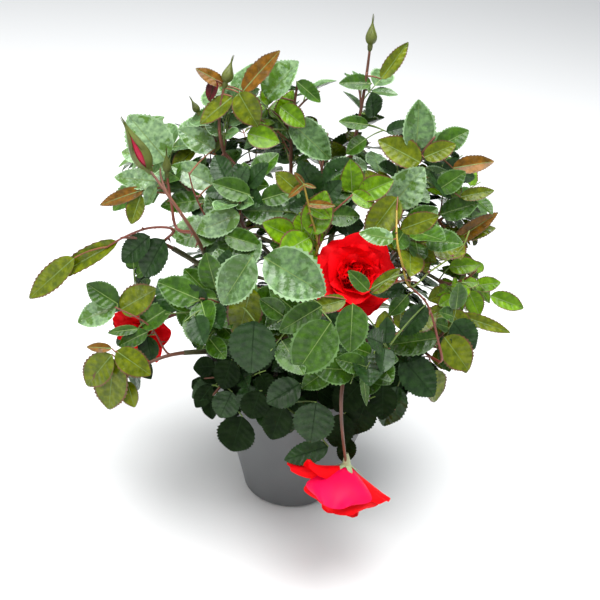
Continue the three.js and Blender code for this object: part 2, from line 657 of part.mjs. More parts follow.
// A compound leaf's solid: a three-sided stalk, with each leaflet drawn out of one of its faces.
function leafSolid({ curve, nodes, last, stalkLength }) {
  const body = newBody();
  const half = LEAFLET_ROOT / stalkLength;
  const stations = [0];
  for (const { along } of nodes) stations.push(along - half, along + half);
  stations.push(1);
  const rings = stations.map((along) => {
    const point = curve.getPointAt(along);
    const tangent = curve.getTangentAt(along);
    const normal = leafNormal(point, tangent);
    const side = new THREE.Vector3().crossVectors(normal, tangent);
    const radius = STALK_RADIUS + (STALK_TIP_RADIUS - STALK_RADIUS) * along;
    const place = (across, above) =>
      body.add(point.clone().addScaledVector(side, across * radius).addScaledVector(normal, above * radius));
    const across = Math.sin((2 * Math.PI) / 3);
    return { top: place(0, 1), left: place(across, -0.5), right: place(-across, -0.5) };
  });
  const quad = (a, b, c, d) => {
    body.face(a, b, c);
    body.face(a, c, d);
  };
  for (let index = 0; index + 1 < rings.length; index++) {
    const back = rings[index];
    const front = rings[index + 1];
    const node = index % 2 === 1 ? nodes[(index - 1) / 2] : {};
    quad(back.left, front.left, front.right, back.right);
    if (node.left) addLeaflet(body, node.left, [back.top, front.top, back.left, front.left], 1);
    else quad(back.top, front.top, front.left, back.left);
    if (node.right) addLeaflet(body, node.right, [back.top, front.top, back.right, front.right], -1);
    else quad(front.top, back.top, back.right, front.right);
  }
  const foot = rings[0];
  const end = rings[rings.length - 1];
  body.face(foot.top, foot.left, foot.right);
  if (last) addLeaflet(body, last, [end.top, end.top, end.left, end.right], 1);
  else body.face(end.top, end.right, end.left);
  return body.solid();
}

// The stem of a mass: it carries on from its limb's tip, or springs low from the knuckle and over the pot's lip.
function stemCurve(mass) {
  const tip = vector(mass.tip);
  if (mass.limb === "crown_stem") {
    const bearing = THREE.MathUtils.degToRad(mass.bearing);
    const start = new THREE.Vector3(
      SKIRT_START_RADIUS * Math.cos(bearing),
      SKIRT_START_RADIUS * Math.sin(bearing),
      COMPOST_TOP + SKIRT_START_HEIGHT,
    );
    const bend = start.clone().lerp(tip, SKIRT_BEND).setZ(Math.max(start.z, tip.z) + SKIRT_RISE);
    return new THREE.QuadraticBezierCurve3(start, bend, tip);
  }
  const { curve } = limbs.get(mass.limb);
  const tangent = curve.getTangentAt(1);
  const start = curve.getPointAt(1).addScaledVector(tangent, GAP);
  const bend = start.clone().addScaledVector(tangent, STEM_BEND * start.distanceTo(tip));
  return new THREE.QuadraticBezierCurve3(start, bend, tip);
}

// A closed bud: a slim spindle.
function budSolid(base, direction, radius, length) {
  const turn = new THREE.Quaternion().setFromUnitVectors(UP, direction);
  const centre = base.clone().addScaledVector(direction, length / 2 - BUD_SEAT);
  const place = new THREE.Matrix4().compose(centre, turn, new THREE.Vector3(radius, radius, length / 2));
  return solidOf(new THREE.OctahedronGeometry(1, 1).applyMatrix4(place));
}

// A full bloom: a domed head of petals, hollowed a little in the middle.
function bloomSolid(base, facing, radius) {
  const turn = new THREE.Quaternion().setFromUnitVectors(UP, facing);
  const head = turned(
    [
      [0, -BUD_SEAT],
      [0.35 * radius, 0],
      [radius, 0.3 * radius],
      [0.84 * radius, 0.64 * radius],
      [0.4 * radius, 0.78 * radius],
      [0, 0.7 * radius],
    ],
    BLOOM_SEGMENTS,
  );
  return solidOf(head.applyQuaternion(turn).translate(base.x, base.y, base.z));
}

for (const mass of MASSES) {
  mass.stem = stemCurve(mass);
  mass.centre = mass.stem.getPointAt(mass.limb === "crown_stem" ? SKIRT_CENTRE : 0.5);
}

// A leaf that aims at a point, from the free place on the stem that lies nearest to its own length away.
function aimedLeaf(mass, aim, freePlaces, random) {
  const target = vector(aim);
  const ownLeaflet = LEAFLET_GROWTH * mass.leaflet;
  const whole = (stalkRatio(mass.pairs) + END_LEAFLET) * ownLeaflet;
  const misfit = (along) => Math.abs(mass.stem.getPointAt(along).distanceTo(target) - whole);
  const along = freePlaces.reduce((best, place) => (misfit(place) < misfit(best) ? place : best));
  freePlaces.splice(freePlaces.indexOf(along), 1);
  const base = mass.stem.getPointAt(along);
  const direction = target.clone().sub(base).normalize();
  const leafletLength = (ownLeaflet * base.distanceTo(target)) / whole;
  return compoundLeaf({ base, direction, leafletLength, pairs: mass.pairs, mass, random });
}

// A leaf that springs from the stem, turned round it by the golden angle from the one before, and leans
// outward. A later one is smaller, to fit between those already set.
function springingLeaf(mass, turn, random) {
  const along = LOWEST_LEAF_PLACE + (1 - LOWEST_LEAF_PLACE) * ((turn * GOLDEN_RATIO) % 1);
  const base = mass.stem.getPointAt(along);
  const tangent = mass.stem.getTangentAt(along);
  const across = new THREE.Vector3().crossVectors(tangent, UP).normalize();
  const over = new THREE.Vector3().crossVectors(across, tangent);
  const lift = LEAST_LEAF_LIFT + LEAF_LIFT_SPREAD * random();
  const around = turn * GOLDEN_ANGLE;
  const outward = base.clone().sub(BUSH_CORE).normalize();
  const direction = tangent
    .clone()
    .multiplyScalar(Math.cos(lift))
    .addScaledVector(across, Math.sin(lift) * Math.cos(around))
    .addScaledVector(over, Math.sin(lift) * Math.sin(around))
    .lerp(outward, OUTWARD_SHARE * random())
    .normalize();
  const shrink = LATE_LEAF_SHRINK * (turn / MOST_TRIES);
  const leafletLength = LEAFLET_GROWTH * mass.leaflet * (SMALLEST_LEAF + LEAF_SIZE_SPREAD * random() - shrink);
  const pairs = random() < 0.5 ? mass.pairs : 1;
  return compoundLeaf({ base, direction, leafletLength, pairs, mass, random });
}

// A mass of foliage: one stem with its bud or bloom, and compound leaves set round it in turn.
function foliage(mass, seed) {
  const random = randomFrom(seed);
  const { stem } = mass;
  const solids = [solidOf(taperedTube(stem, STEM_RADIUS, STEM_TIP_RADIUS, STEM_SIDES, STEM_STEPS))];
  const placed = [];
  const addLeaf = (leaf) => {
    solids.push(leafSolid(leaf));
    placed.push(...leaf.leaflets);
  };
  const tip = stem.getPointAt(1);
  if (mass.end === "bud") solids.push(budSolid(tip, stem.getTangentAt(1), BUD_RADIUS, BUD_LENGTH));
  if (mass.end === "large_bud") solids.push(budSolid(tip, LARGE_BUD_LEAN, LARGE_BUD_RADIUS, LARGE_BUD_LENGTH));
  if (mass.end === "bloom") solids.push(bloomSolid(tip, vector(mass.facing).normalize(), mass.bloomRadius));
  const freePlaces = [...AIM_PLACES];
  for (const aim of mass.aims ?? []) {
    const leaf = aimedLeaf(mass, aim, freePlaces, random);
    if (leaf.leaflets.length > 0) addLeaf(leaf);
  }
  let made = 0;
  for (let turn = 0; turn < MOST_TRIES && made < mass.leaves; turn++) {
    const leaf = springingLeaf(mass, turn, random);
    const full = leaf.leaflets.length >= FEWEST_LEAFLETS;
    const crossing = leaf.leaflets.some((leaflet) => placed.some((other) => leafletsCross(leaflet, other)));
    const barred = crossing || leaf.leaflets.some(closesSky);
    if (!full || barred || !twigFits(leaf.curve, STALK_RADIUS, mass)) continue;
    addLeaf(leaf);
    made++;
  }
  const whole = wasm.Manifold.union(solids);
  return mass.limb === "crown_stem" ? whole.subtract(crownStem(GAP)) : whole;
}

const bush = new THREE.Group();
bush.add(namedMesh("pot", pot(), POT_COLOUR, 0.45));
bush.add(namedMesh("compost", compost(), COMPOST_COLOUR, 0.95));
bush.add(namedMesh("crown_stem", crownStem(0), FOOT_COLOUR, 0.9));
for (const [name, limb] of limbs) {
  const cutter = limb.parent ? limbSolid(limb.parent, GAP) : crownStem(GAP);
  bush.add(namedMesh(name, limbSolid(limb, 0).subtract(cutter), CANE_COLOUR, 0.7));
}
MASSES.forEach((mass, index) => {
  bush.add(namedMesh(`foliage_${mass.name}`, foliage(mass, FIRST_SEED + index), LEAF_COLOUR, 0.5));
});

export default bush;
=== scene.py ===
import math

import bpy
import numpy as np
from mathutils import Matrix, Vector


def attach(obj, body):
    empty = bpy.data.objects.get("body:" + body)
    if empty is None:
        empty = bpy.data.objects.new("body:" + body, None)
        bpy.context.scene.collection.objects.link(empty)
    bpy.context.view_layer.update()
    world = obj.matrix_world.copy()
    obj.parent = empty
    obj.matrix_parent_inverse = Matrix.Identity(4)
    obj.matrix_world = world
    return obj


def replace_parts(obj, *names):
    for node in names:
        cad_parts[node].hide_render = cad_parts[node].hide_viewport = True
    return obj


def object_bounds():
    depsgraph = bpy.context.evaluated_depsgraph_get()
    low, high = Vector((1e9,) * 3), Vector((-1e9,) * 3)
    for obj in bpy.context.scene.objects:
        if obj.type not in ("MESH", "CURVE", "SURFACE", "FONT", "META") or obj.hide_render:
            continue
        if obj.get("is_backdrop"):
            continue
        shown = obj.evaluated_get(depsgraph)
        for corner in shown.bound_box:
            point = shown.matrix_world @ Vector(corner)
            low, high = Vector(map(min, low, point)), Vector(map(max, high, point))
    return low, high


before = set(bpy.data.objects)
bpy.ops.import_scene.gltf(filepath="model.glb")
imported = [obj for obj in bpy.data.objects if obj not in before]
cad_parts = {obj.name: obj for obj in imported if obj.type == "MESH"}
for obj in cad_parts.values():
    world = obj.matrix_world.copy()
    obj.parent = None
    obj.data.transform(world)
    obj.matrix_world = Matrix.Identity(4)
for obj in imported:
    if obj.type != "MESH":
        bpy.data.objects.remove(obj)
cad_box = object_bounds()

# A rose bush with red double blooms in its plastic nursery pot.
# Lengths are millimetres until a mesh is made. The origin is the centre of the pot's underside, +Z is up
# and -Y is the front. The limbs, the stems and the rule that sets the leaves are those of the solids.
MM = 0.001
UP = np.array([0.0, 0.0, 1.0])

# Seeds of the random draws
BLOOM_SEED = 54
GROWTH_SEED = 54
LED_SEED = 104
BARK_SEED = 154
SHOOT_SEED = 204
STEM_THORN_SEED = 254
COMPOST_SEED = 354
RAIN_SEED = 454

# The pot and what stands in it
POT_HEIGHT = 190
POT_LIP_RADIUS = 110
POT_LIP_HEIGHT = 7
POT_COLLAR_HEIGHT = 40
POT_COLLAR_FOOT_RADIUS = 104
POT_COLLAR_TOP_RADIUS = 107
POT_BODY_TOP_RADIUS = 96
POT_BODY_FOOT_RADIUS = 54
POT_EDGE_RADIUS = 8
POT_WALL = 2.6
POT_SEGMENTS = 128
COMPOST_TOP = 170
COMPOST_CHIPS = 420
CHIP_SIZE = (4.5, 3, 1.1)
FOOT_HEIGHT = 36
FOOT_FLARE_RADIUS = 27
FOOT_NECK_RADIUS = 18
FOOT_KNUCKLE_RADIUS = 25
FOOT_TOP_RADIUS = 18.75

# Limbs
CANE_RADIUS = 4.2
CANE_TIP_RADIUS = 2.8
BOUGH_RADIUS = 2.7
BOUGH_TIP_RADIUS = 2
CANE_RING_RADIUS = 16
CANE_START_HEIGHT = 22
CANE_BEND_ACROSS = 0.45
CANE_BEND_UP = 0.62
BOUGH_BEND = 0.45
STEM_RADIUS = 2.2
STEM_TIP_RADIUS = 1.3
STEM_BEND = 0.5
SKIRT_START_RADIUS = 16
SKIRT_START_HEIGHT = 13
SKIRT_RISE = 38
SKIRT_BEND = 0.6
SKIRT_CENTRE = 0.85
TWIG_RADIUS = 1.4
TWIG_TIP_RADIUS = 0.9
TWIG_SHARE = 0.42
TWIG_LIFT = 0.75
TWIGS = 3
TWIG_START = 0.3
TWIG_RANGE = 0.6
LED_TWIG_RADIUS = 1.1
LED_TWIG_TIP_RADIUS = 0.7
LED_TWIG_ARCH = 0.12
LAST_LED_TWIG = 0.97
SHOOT_TAPER = 0.6
LIMB_SIDES = 12
THORN_SPACING = 17
THORN_LENGTH = 6

# Compound leaves. Lengths along a stalk are parts of its leaflet's length.
STALK_RADIUS = 0.9
STALK_TIP_RADIUS = 0.6
STALK_DROOP = 0.18
PETIOLE = 0.45
PAIR_SPACING = 0.62
END_SPACING = 0.36
END_LEAFLET = 1.12
SMALLEST_SIDE_LEAFLET = 0.8
LEAFLET_WIDTH_RATIO = 0.7
LEAFLET_ANGLE = 0.94
LEAFLET_ANGLE_SPREAD = 0.16
LEAFLET_LIFT_SPREAD = 0.35
LEAFLET_OUTWARD = 0.6
LEAFLET_STEM = 2.5
LEAFLET_STEM_RADII = (0.6, 0.55, 0.5)
LIGHT_WAY = np.array([0.0, -1.0, 0.1])
LIGHT_SHARE = 0.8
LIGHT_EDGE = 70
LIGHT_DEPTH = 70
FRONT_SHARE = 1.1
GOLDEN_ANGLE = 2.39996
GOLDEN_RATIO = 0.618034
BUSH_CORE = np.array([0.0, 0.0, 270.0])
FRONT_EYE = np.array([-8.0, -1050.0, 800.0])
OUTWARD_SHARE = 0.6
BARE_FOOT = 0.1
LEAF_LIFT = 0.5
LEAF_LIFT_SPREAD = 0.9
MOST_LEAFLETS = 4000
FEWEST_LEAFLETS = 3
MOST_TRIES = 260
FULLNESS = 3.1
SMALLEST_LEAF = 0.6
LEAF_SIZE_SPREAD = 0.36
LIMB_MARGIN = 0.8
LIMB_BERTH = 4
LEAFLET_CLEARANCE = 1.2
POT_MARGIN = 3
MOST_HIDING = 0.4

# The form of a leaflet. The fold and the twist are slopes, the midrib's lift and half widths are millimetres,
# and the others are parts of the length, the width or the depth of the veins.
LEAF_ROWS = 28
LEAF_COLUMNS = np.array([-1, -0.9, -0.6, -0.28, 0, 0.28, 0.6, 0.9, 1])
VEIN_ROWS = 4
VEIN_SWEEP = 0.17
VEIN_DEPTH = 0.008
QUILT = 0.4
MIDRIB_RELIEF = -0.6
FOOT_BLUNTNESS = 0.55
TIP_BLUNTNESS = 0.72
TIP_PINCH = 0.2
TIP_SHARE = 0.25
TOOTH = 0.045
TOOTH_LEAN = 0.012
FOLD = 0.10
FOLD_SPREAD = 0.32
DROOP = 0.02
DROOP_SPREAD = 0.13
WAVE = 0.022
TWIST = 0.5
MIDRIB_LIFT = 0.35
MIDRIB_HALF_WIDTH = 0.5
MIDRIB_TIP_HALF_WIDTH = 0.12

# Blooms, buds and rain. The sight of a bud is kept clear at a share of its length, in its radii.
PETAL_ROWS = 14
PETAL_COLUMNS = 11
PETAL_THICKNESS = 0.35
PETAL_NOTCH = 0.13
BLOOM_DEPTH = 0.45
BLOOM_CLEARANCE = 0.9
QUARTER_FOLDS = 6
QUARTER_PLACE = 0.19
QUARTER_TURN = 0.62
QUARTER_WIDTH = 0.46
QUARTER_CUP = 1.1
QUARTER_RUFFLE = 1.8
RUFFLE = 1.5
SEPALS = 5
SEPAL_HALF_WIDTH = 3.4
SEPAL_START_RADIUS = 3.6
SEPAL_START_HEIGHT = -2.5
CALYX_LEAN = 0.4
BUD_SIGHT = (0.45, 1.4)
SIDE_BUD_SIGHT = (0.4, 2.2)
BUD_STEM_SIGHTS = (0.55, 0.75, 0.95)
DROPS = 900
DROP_SIZE = 1.5
DROP_HEIGHT = 0.55
RAIN_FLOOR = 230
RAIN_SLOPE = 0.55

# Surfaces. Patches, mottles and puckers are to the metre, and depths are metres.
FINE_DEPTH = 0.0006
MOTTLES = 110
# The mottles added with the film, the film's patches and their edge paint the film's sheen into the leaves'
# colour.
SHEEN_MOTTLES = 130
SHEEN_PATCHES = 75
SHEEN_EDGE = {"From Min": 0.45, "From Max": 0.49}
FILM_COAT = 0.8
FILM_ROUGHNESS = 0.11
WET_PATCHES = 130
WET_ROUGHNESS = {"From Min": 0.42, "From Max": 0.58, "To Min": 0.58, "To Max": 0.22}
PUCKERS = 260
PUCKER_DEPTH = 0.001

# The view
FLOOR_SIZE = 9
LENS_PIXELS = 1060
PICTURE_PIXELS = 600
SENSOR_MM = 36
CAMERA_PLACE = (-0.008, -1.05, 0.80)
CAMERA_PITCH = 27.6
CAMERA_ROLL = 6
LIGHT_TARGET = (0, 0, 0.3)
SKY_STRENGTH = 0.52

# Canes: bearing of the start round the knuckle in degrees, and the tip where the cane enters its mass.
CANES = {
    "cane_right": (18, (115, 30, 330)),
    "cane_right_back": (58, (28, 20, 402)),
    "cane_back": (98, (0, 105, 325)),
    "cane_top": (138, (-30, 15, 380)),
    "cane_left": (178, (-146, -46, 320)),
    "cane_front_left": (216, (-125, -78, 214)),
    "cane_front": (290, (-5, -100, 280)),
    "cane_front_right": (340, (118, -48, 238)),
}

# Boughs: the cane that each leaves, how far along it, and the tip.
BOUGHS = {
    "bough_right_fresh": ("cane_right", 0.7, (140, -10, 298)),
    "bough_right_top": ("cane_right", 0.45, (78, 5, 358)),
    "bough_back_right": ("cane_right_back", 0.35, (80, 80, 310)),
    "bough_back_left": ("cane_back", 0.45, (-75, 75, 310)),
    "bough_back_low_left": ("cane_back", 0.22, (-72, 70, 240)),
    "bough_back_low_right": ("cane_back", 0.3, (74, 68, 240)),
    "bough_top_left": ("cane_top", 0.55, (-85, -5, 392)),
    "bough_left_top": ("cane_top", 0.35, (-120, 22, 346)),
    "bough_left_bud": ("cane_left", 0.6, (-112, -78, 338)),
    "bough_left_bloom": ("cane_left", 0.35, (-125, -36, 244)),
    "bough_front_left": ("cane_front", 0.6, (-58, -95, 262)),
    "bough_main_bloom": ("cane_front", 0.4, (42, -50, 284)),
    "bough_middle": ("cane_right_back", 0.5, (8, -42, 322)),
    "bough_middle_left": ("cane_top", 0.5, (-62, -32, 338)),
    "bough_right_middle": ("cane_right", 0.58, (84, -38, 338)),
    "bough_front_right": ("cane_front_right", 0.5, (62, -85, 250)),
    "bough_hanging": ("cane_front_right", 0.3, (48, -138, 252)),
}


def mass(name, limb, tip, reach, leaves, leaflet, pairs, palette, bearing=None):
    """The facts of one mass of foliage."""
    return dict(name=name, limb=limb, tip=np.array(tip, float), reach=reach, leaves=leaves, leaflet=leaflet,
                pairs=pairs, palette=palette, bearing=bearing)


TOP = ("wet", "olive", "mid", "wet", "dark")
LEFT = ("pale", "wet", "mid", "pale")
FRONT = ("mid", "dark", "wet", "mid", "olive")
RIGHT = ("olive", "mid", "wet", "fresh", "mid")
# The low masses under the crown mostly take the shade colour, which is painted shade.
LOW = ("shade", "shade", "dark")
BACK = ("mid", "dark", "wet", "olive")

MASSES = [
    mass("right_bud", "cane_right_back", (36, 30, 536), 95, 1, 34, 1, TOP),
    mass("right_top", "bough_right_top", (112, 0, 455), 95, 3, 46, 2, TOP),
    mass("right_side", "cane_right", (162, 34, 376), 84, 5, 44, 2, RIGHT),
    mass("right_fresh", "bough_right_fresh", (174, -8, 303), 92, 4, 38, 2, ("fresh", "fresh", "olive")),
    mass("right_low", "cane_front_right", (150, -58, 240), 98, 4, 46, 2, ("mid", "olive", "dark")),
    mass("top_left_bud", "bough_top_left", (-106, 0, 490), 92, 2, 42, 2, TOP),
    mass("top_middle", "cane_top", (-34, 24, 488), 88, 4, 48, 2, ("pale", "wet", "fresh", "wet")),
    mass("left_bud", "bough_left_bud", (-169, -80, 420), 88, 3, 44, 1, ("wet", "olive", "mid", "pale")),
    mass("left_top", "bough_left_top", (-172, 22, 404), 90, 4, 46, 2, LEFT),
    mass("far_left", "cane_left", (-198, -58, 332), 152, 3, 60, 1, ("wet", "mid", "dark")),
    mass("left_bloom", "bough_left_bloom", (-172, -38, 216), 112, 3, 38, 2, ("wet", "dark", "mid")),
    mass("lower_left", "cane_front_left", (-184, -102, 190), 98, 3, 46, 1, ("olive", "mid", "fresh")),
    mass("middle_top", "bough_middle", (6, -36, 404), 88, 6, 48, 2, ("fresh", "mid", "wet", "dark", "mid")),
    mass("middle_left", "bough_middle_left", (-78, -58, 392), 84, 7, 48, 1, ("wet", "pale", "dark", "mid")),
    mass("right_middle", "bough_right_middle", (100, -66, 376), 80, 6, 46, 1, RIGHT),
    mass("front_left", "bough_front_left", (-78, -138, 322), 92, 5, 54, 2, FRONT),
    mass("front_middle", "cane_front", (-5, -150, 335), 88, 6, 56, 2, FRONT),
    mass("main_bloom", "bough_main_bloom", (44, -66, 318), 88, 4, 46, 2, ("mid", "dark", "olive")),
    mass("front_right", "bough_front_right", (85, -135, 278), 88, 5, 50, 2, FRONT),
    mass("hanging_bloom", "bough_hanging", (58, -152, 143), 128, 1, 40, 1, ("dark",)),
    mass("skirt_left", "crown_stem", (-88, -110, 186), 92, 6, 40, 2, LOW, 248),
    mass("skirt_front", "crown_stem", (-12, -145, 198), 92, 7, 44, 2, LOW, 266),
    mass("skirt_right", "crown_stem", (104, -98, 184), 88, 6, 44, 2, LOW, 316),
    mass("back_left", "bough_back_left", (-98, 120, 366), 110, 5, 54, 2, BACK),
    mass("back_middle", "cane_back", (4, 152, 396), 110, 5, 54, 2, BACK),
    mass("back_right", "bough_back_right", (108, 124, 352), 110, 5, 54, 2, BACK),
    mass("back_low_left", "bough_back_low_left", (-96, 122, 256), 100, 6, 50, 2, BACK),
    mass("back_low_right", "bough_back_low_right", (100, 118, 246), 100, 6, 50, 2, BACK),
    mass("skirt_back", "crown_stem", (0, 142, 210), 105, 7, 46, 2, LOW, 80),
]

# Young shoots that show in front of the leaves: the mass that bears each, its radius at the foot, its rind,
# and its points from the foot up.
SHOOTS = [
    ("right_middle", 1.7, "rind_red",
     ((141, -112, 256), (134, -118, 284), (118, -118, 322), (97, -118, 341))),
    ("right_middle", 1.6, "rind_yellow", ((97, -118, 341), (86, -118, 366), (79, -110, 386), (77, -82, 406))),
    ("right_middle", 1.2, "rind_green",
     ((97, -118, 341), (117, -105, 353), (142, -105, 379), (149, -96, 396))),
    ("middle_top", 1.6, "rind_yellow", ((0, -76, 335), (4, -92, 363), (-6, -94, 394), (-16, -92, 425))),
    ("middle_top", 1.3, "rind_red", ((4, -92, 363), (6, -90, 384), (13, -88, 395), (32, -84, 416))),
    ("far_left", 1.6, "rind_red", ((-143, -66, 351), (-168, -66, 350), (-194, -64, 336), (-214, -62, 320))),
    ("left_bloom", 1.3, "rind_red", ((-143, -75, 209), (-160, -75, 237), (-177, -75, 249), (-201, -72, 257))),
    ("left_bud", 1.9, "rind_red", ((-139, -78, 358), (-146, -74, 384), (-150, -72, 402), (-152, -70, 414))),
    ("top_left_bud", 1.3, "rind_red", ((-88, 0, 400), (-108, 12, 416), (-126, 20, 434), (-135, 20, 449))),
    ("left_top", 1.2, "rind_red", ((-110, -50, 352), (-120, -48, 372), (-128, -46, 388), (-134, -40, 404))),
]

# Leaves set one by one where the plant shows them: the leaf's foot, its tip, the colour, the width as a share
# of the length, and the pairs of side leaflets if it has any. A twig joins the foot to the stem or to a
# shoot.
LED_LEAVES = {
    "right_bud": [
        ((42, 25, 497), (9, 20, 497), "mid", 0.55),
        ((51, 25, 503), (74, 30, 542), "olive", 0.36),
        ((48, 15, 465), (44, 5, 493), "dark", 0.8),
        ((44, 15, 456), (13, 10, 459), "mid", 0.5),
        ((60, 15, 452), (20, 5, 429), "mid", 0.6, 1),
        ((63, 15, 451), (92, 15, 463), "dark", 0.5),
    ],
    "right_top": [
        ((95, 0, 440), (93, 0, 491), "wet", 0.7),
        ((117, 5, 443), (146, 5, 465), "mid", 0.7),
        ((101, -8, 429), (56, -12, 451), "olive", 0.62),
        ((104, -5, 434), (134, -5, 452), "olive", 0.6),
        ((136, 0, 424), (177, 0, 437), "bronze", 0.45),
        ((123, -10, 402), (148, -10, 425), "mid", 0.7),
        ((149, 0, 393), (183, 0, 405), "olive", 0.4),
        ((77, -20, 384), (104, -20, 428), "pale", 0.75),
    ],
    "right_side": [
        ((150, 10, 335), (193, 10, 376), "bronze", 0.3),
        ((145, 10, 343), (195, 14, 357), "olive", 0.4),
        ((131, 0, 371), (169, 0, 389), "mid", 0.6),
    ],
    "right_fresh": [
        ((150, 0, 310), (183, 0, 318), "fresh", 0.6),
        ((181, 0, 291), (209, 0, 299), "fresh", 0.6),
        ((175, -5, 286), (192, -10, 260), "fresh", 0.75),
        ((200, -2, 282), (239, -5, 273), "fresh", 0.5),
    ],
    "right_low": [
        ((163, -30, 269), (226, -30, 255), "olive", 0.24),
        ((155, -60, 276), (184, -65, 248), "dark", 0.8),
        ((147, -70, 262), (179, -80, 230), "olive", 0.75),
        ((138, -85, 268), (80, -95, 257), "mid", 0.5),
        ((105, -85, 240), (146, -95, 203), "dark", 0.7),
        ((105, -90, 208), (96, -100, 160), "dark", 0.65),
    ],
    "top_left_bud": [
        ((-88, 0, 482), (-57, 0, 528), "bronze", 0.38),
        ((-107, 0, 487), (-137, 0, 501), "bronze", 0.45),
        ((-116, 0, 491), (-122, -5, 470), "wine", 0.6),
        ((-92, -5, 482), (-69, -15, 452), "olive", 0.75),
        ((-98, -5, 477), (-129, -10, 447), "olive", 0.5),
    ],
    "top_middle": [
        ((-65, 20, 472), (-37, 20, 514), "pale", 0.75),
        ((-35, 25, 491), (-8, 25, 472), "mid", 0.55),
        ((-80, -5, 440), (-46, -10, 436), "fresh", 0.75),
        ((-38, 15, 451), (10, 15, 415), "wet", 0.6),
        ((-49, 10, 467), (-21, 5, 451), "fresh", 0.7),
    ],
    "left_bud": [
        ((-156, -50, 419), (-195, -50, 461), "pale", 0.8),
        ((-159, -60, 399), (-207, -60, 400), "pale", 0.45),
        ((-175, -65, 391), (-220, -70, 372), "bronze", 0.3),
        ((-178, -65, 385), (-186, -75, 356), "olive", 0.6),
    ],
    "left_top": [
        ((-113, 0, 417), (-152, 0, 436), "pale", 0.6),
        ((-111, -10, 382), (-156, -10, 399), "pale", 0.6),
        ((-118, -20, 368), (-165, -25, 359), "mid", 0.5),
    ],
    "far_left": [
        ((-246, -64, 306), (-297, -62, 251), "olive", 0.36),
        ((-201, -61, 329), (-275, -63, 277), "olive", 0.24),
        ((-169, -58, 337), (-199, -60, 305), "dark", 0.6),
        ((-154, -58, 335), (-175, -65, 292), "dark", 0.7),
    ],
    "left_bloom": [
        ((-202, -62, 252), (-243, -66, 231), "pale", 0.62),
        ((-201, -60, 255), (-234, -60, 275), "mid", 0.7),
        ((-198, -60, 248), (-160, -60, 278), "olive", 0.7),
        ((-173, -72, 238), (-142, -72, 267), "mid", 0.62),
        ((-165, -76, 234), (-197, -80, 215), "mid", 0.5),
        ((-176, -74, 235), (-208, -78, 229), "mid", 0.35),
        ((-167, -70, 225), (-160, -76, 198), "dark", 0.8),
    ],
    "lower_left": [
        ((-198, -100, 216), (-226, -104, 175), "olive", 0.65),
        ((-196, -100, 210), (-202, -106, 147), "olive", 0.62),
        ((-194, -100, 221), (-156, -104, 198), "olive", 0.65),
        ((-199, -98, 222), (-226, -98, 221), "bronze", 0.4),
    ],
    "middle_top": [
        ((-16, -92, 425), (-30, -98, 412), "bronze", 0.36),
        ((-16, -92, 425), (-4, -98, 425), "bronze", 0.34),
        ((-16, -92, 425), (-26, -97, 438), "bronze", 0.36),
        ((-22, -91, 417), (-43, -94, 435), "olive", 0.7),
        ((-12, -92, 405), (16, -98, 409), "bronze", 0.3),
        ((-10, -92, 402), (13, -96, 394), "fresh", 0.5),
        ((33, -45, 403), (28, -45, 437), "fresh", 0.75),
        ((41, -48, 403), (72, -50, 423), "fresh", 0.7),
        ((33, -50, 405), (58, -60, 395), "fresh", 0.6),
    ],
    "middle_left": [
        ((-69, -60, 395), (-107, -65, 406), "mid", 0.6),
        ((-77, -70, 377), (-121, -75, 355), "pale", 0.6),
        ((-57, -60, 391), (-24, -60, 406), "mid", 0.6),
        ((-90, -80, 357), (-52, -85, 352), "mid", 0.6),
    ],
    "right_middle": [
        ((77, -75, 415), (51, -90, 373), "olive", 0.62),
        ((84, -80, 383), (118, -85, 404), "olive", 0.55),
        ((76, -110, 385), (43, -118, 392), "pale", 0.5),
        ((57, -130, 337), (36, -130, 356), "mid", 0.55),
        ((61, -124, 332), (86, -116, 358), "olive", 0.42),
        ((95, -108, 333), (60, -108, 324), "dark", 0.45),
        ((98, -108, 326), (82, -112, 302), "mid", 0.55),
    ],
    "front_left": [
        ((-56, -165, 378), (-82, -175, 328), "wet", 0.66),
        ((-55, -155, 340), (-65, -165, 285), "olive", 0.62),
        ((-49, -172, 314), (-48, -184, 260), "dark", 0.82),
    ],
    "front_middle": [
        ((-45, -168, 379), (15, -176, 352), "wet", 0.72),
        ((23, -182, 327), (-5, -196, 274), "mid", 0.72),
        ((13, -168, 335), (-25, -176, 307), "mid", 0.55),
        ((36, -140, 330), (3, -150, 321), "olive", 0.5),
    ],
    "front_right": [
        ((41, -176, 345), (44, -188, 299), "mid", 0.66),
        ((117, -110, 318), (97, -118, 284), "dark", 0.6),
        ((60, -150, 264), (70, -158, 221), "mid", 0.2),
    ],
    "skirt_left": [
        ((-90, -90, 209), (-114, -90, 204), "shade", 0.9),
        ((-92, -92, 186), (-108, -98, 159), "shade", 0.6),
        ((-72, -105, 228), (-80, -112, 195), "shade", 0.85),
        ((-69, -110, 192), (-80, -118, 162), "dark", 0.9),
        ((-56, -112, 164), (-64, -120, 122), "shade", 0.95),
        ((-64, -100, 198), (-66, -112, 166), "shade", 0.85),
        ((-52, -112, 204), (-48, -122, 172), "dark", 0.8),
        ((-74, -98, 186), (-70, -108, 152), "shade", 0.85),
    ],
    "skirt_front": [
        ((-39, -135, 213), (-46, -142, 181), "shade", 0.9),
        ((1, -150, 236), (-31, -156, 212), "dark", 0.75),
        ((-13, -145, 205), (-23, -150, 162), "shade", 0.7),
        ((19, -150, 216), (18, -158, 170), "dark", 0.9),
        ((37, -146, 161), (-7, -152, 142), "dark", 0.5),
    ],
    "skirt_right": [
        ((62, -122, 226), (40, -134, 196), "shade", 0.85),
        ((72, -118, 204), (62, -128, 164), "shade", 0.8),
        ((50, -126, 190), (44, -134, 152), "shade", 0.8),
        ((88, -100, 214), (92, -110, 176), "shade", 0.75),
        ((56, -125, 160), (59, -130, 128), "shade", 0.65),
    ],
}

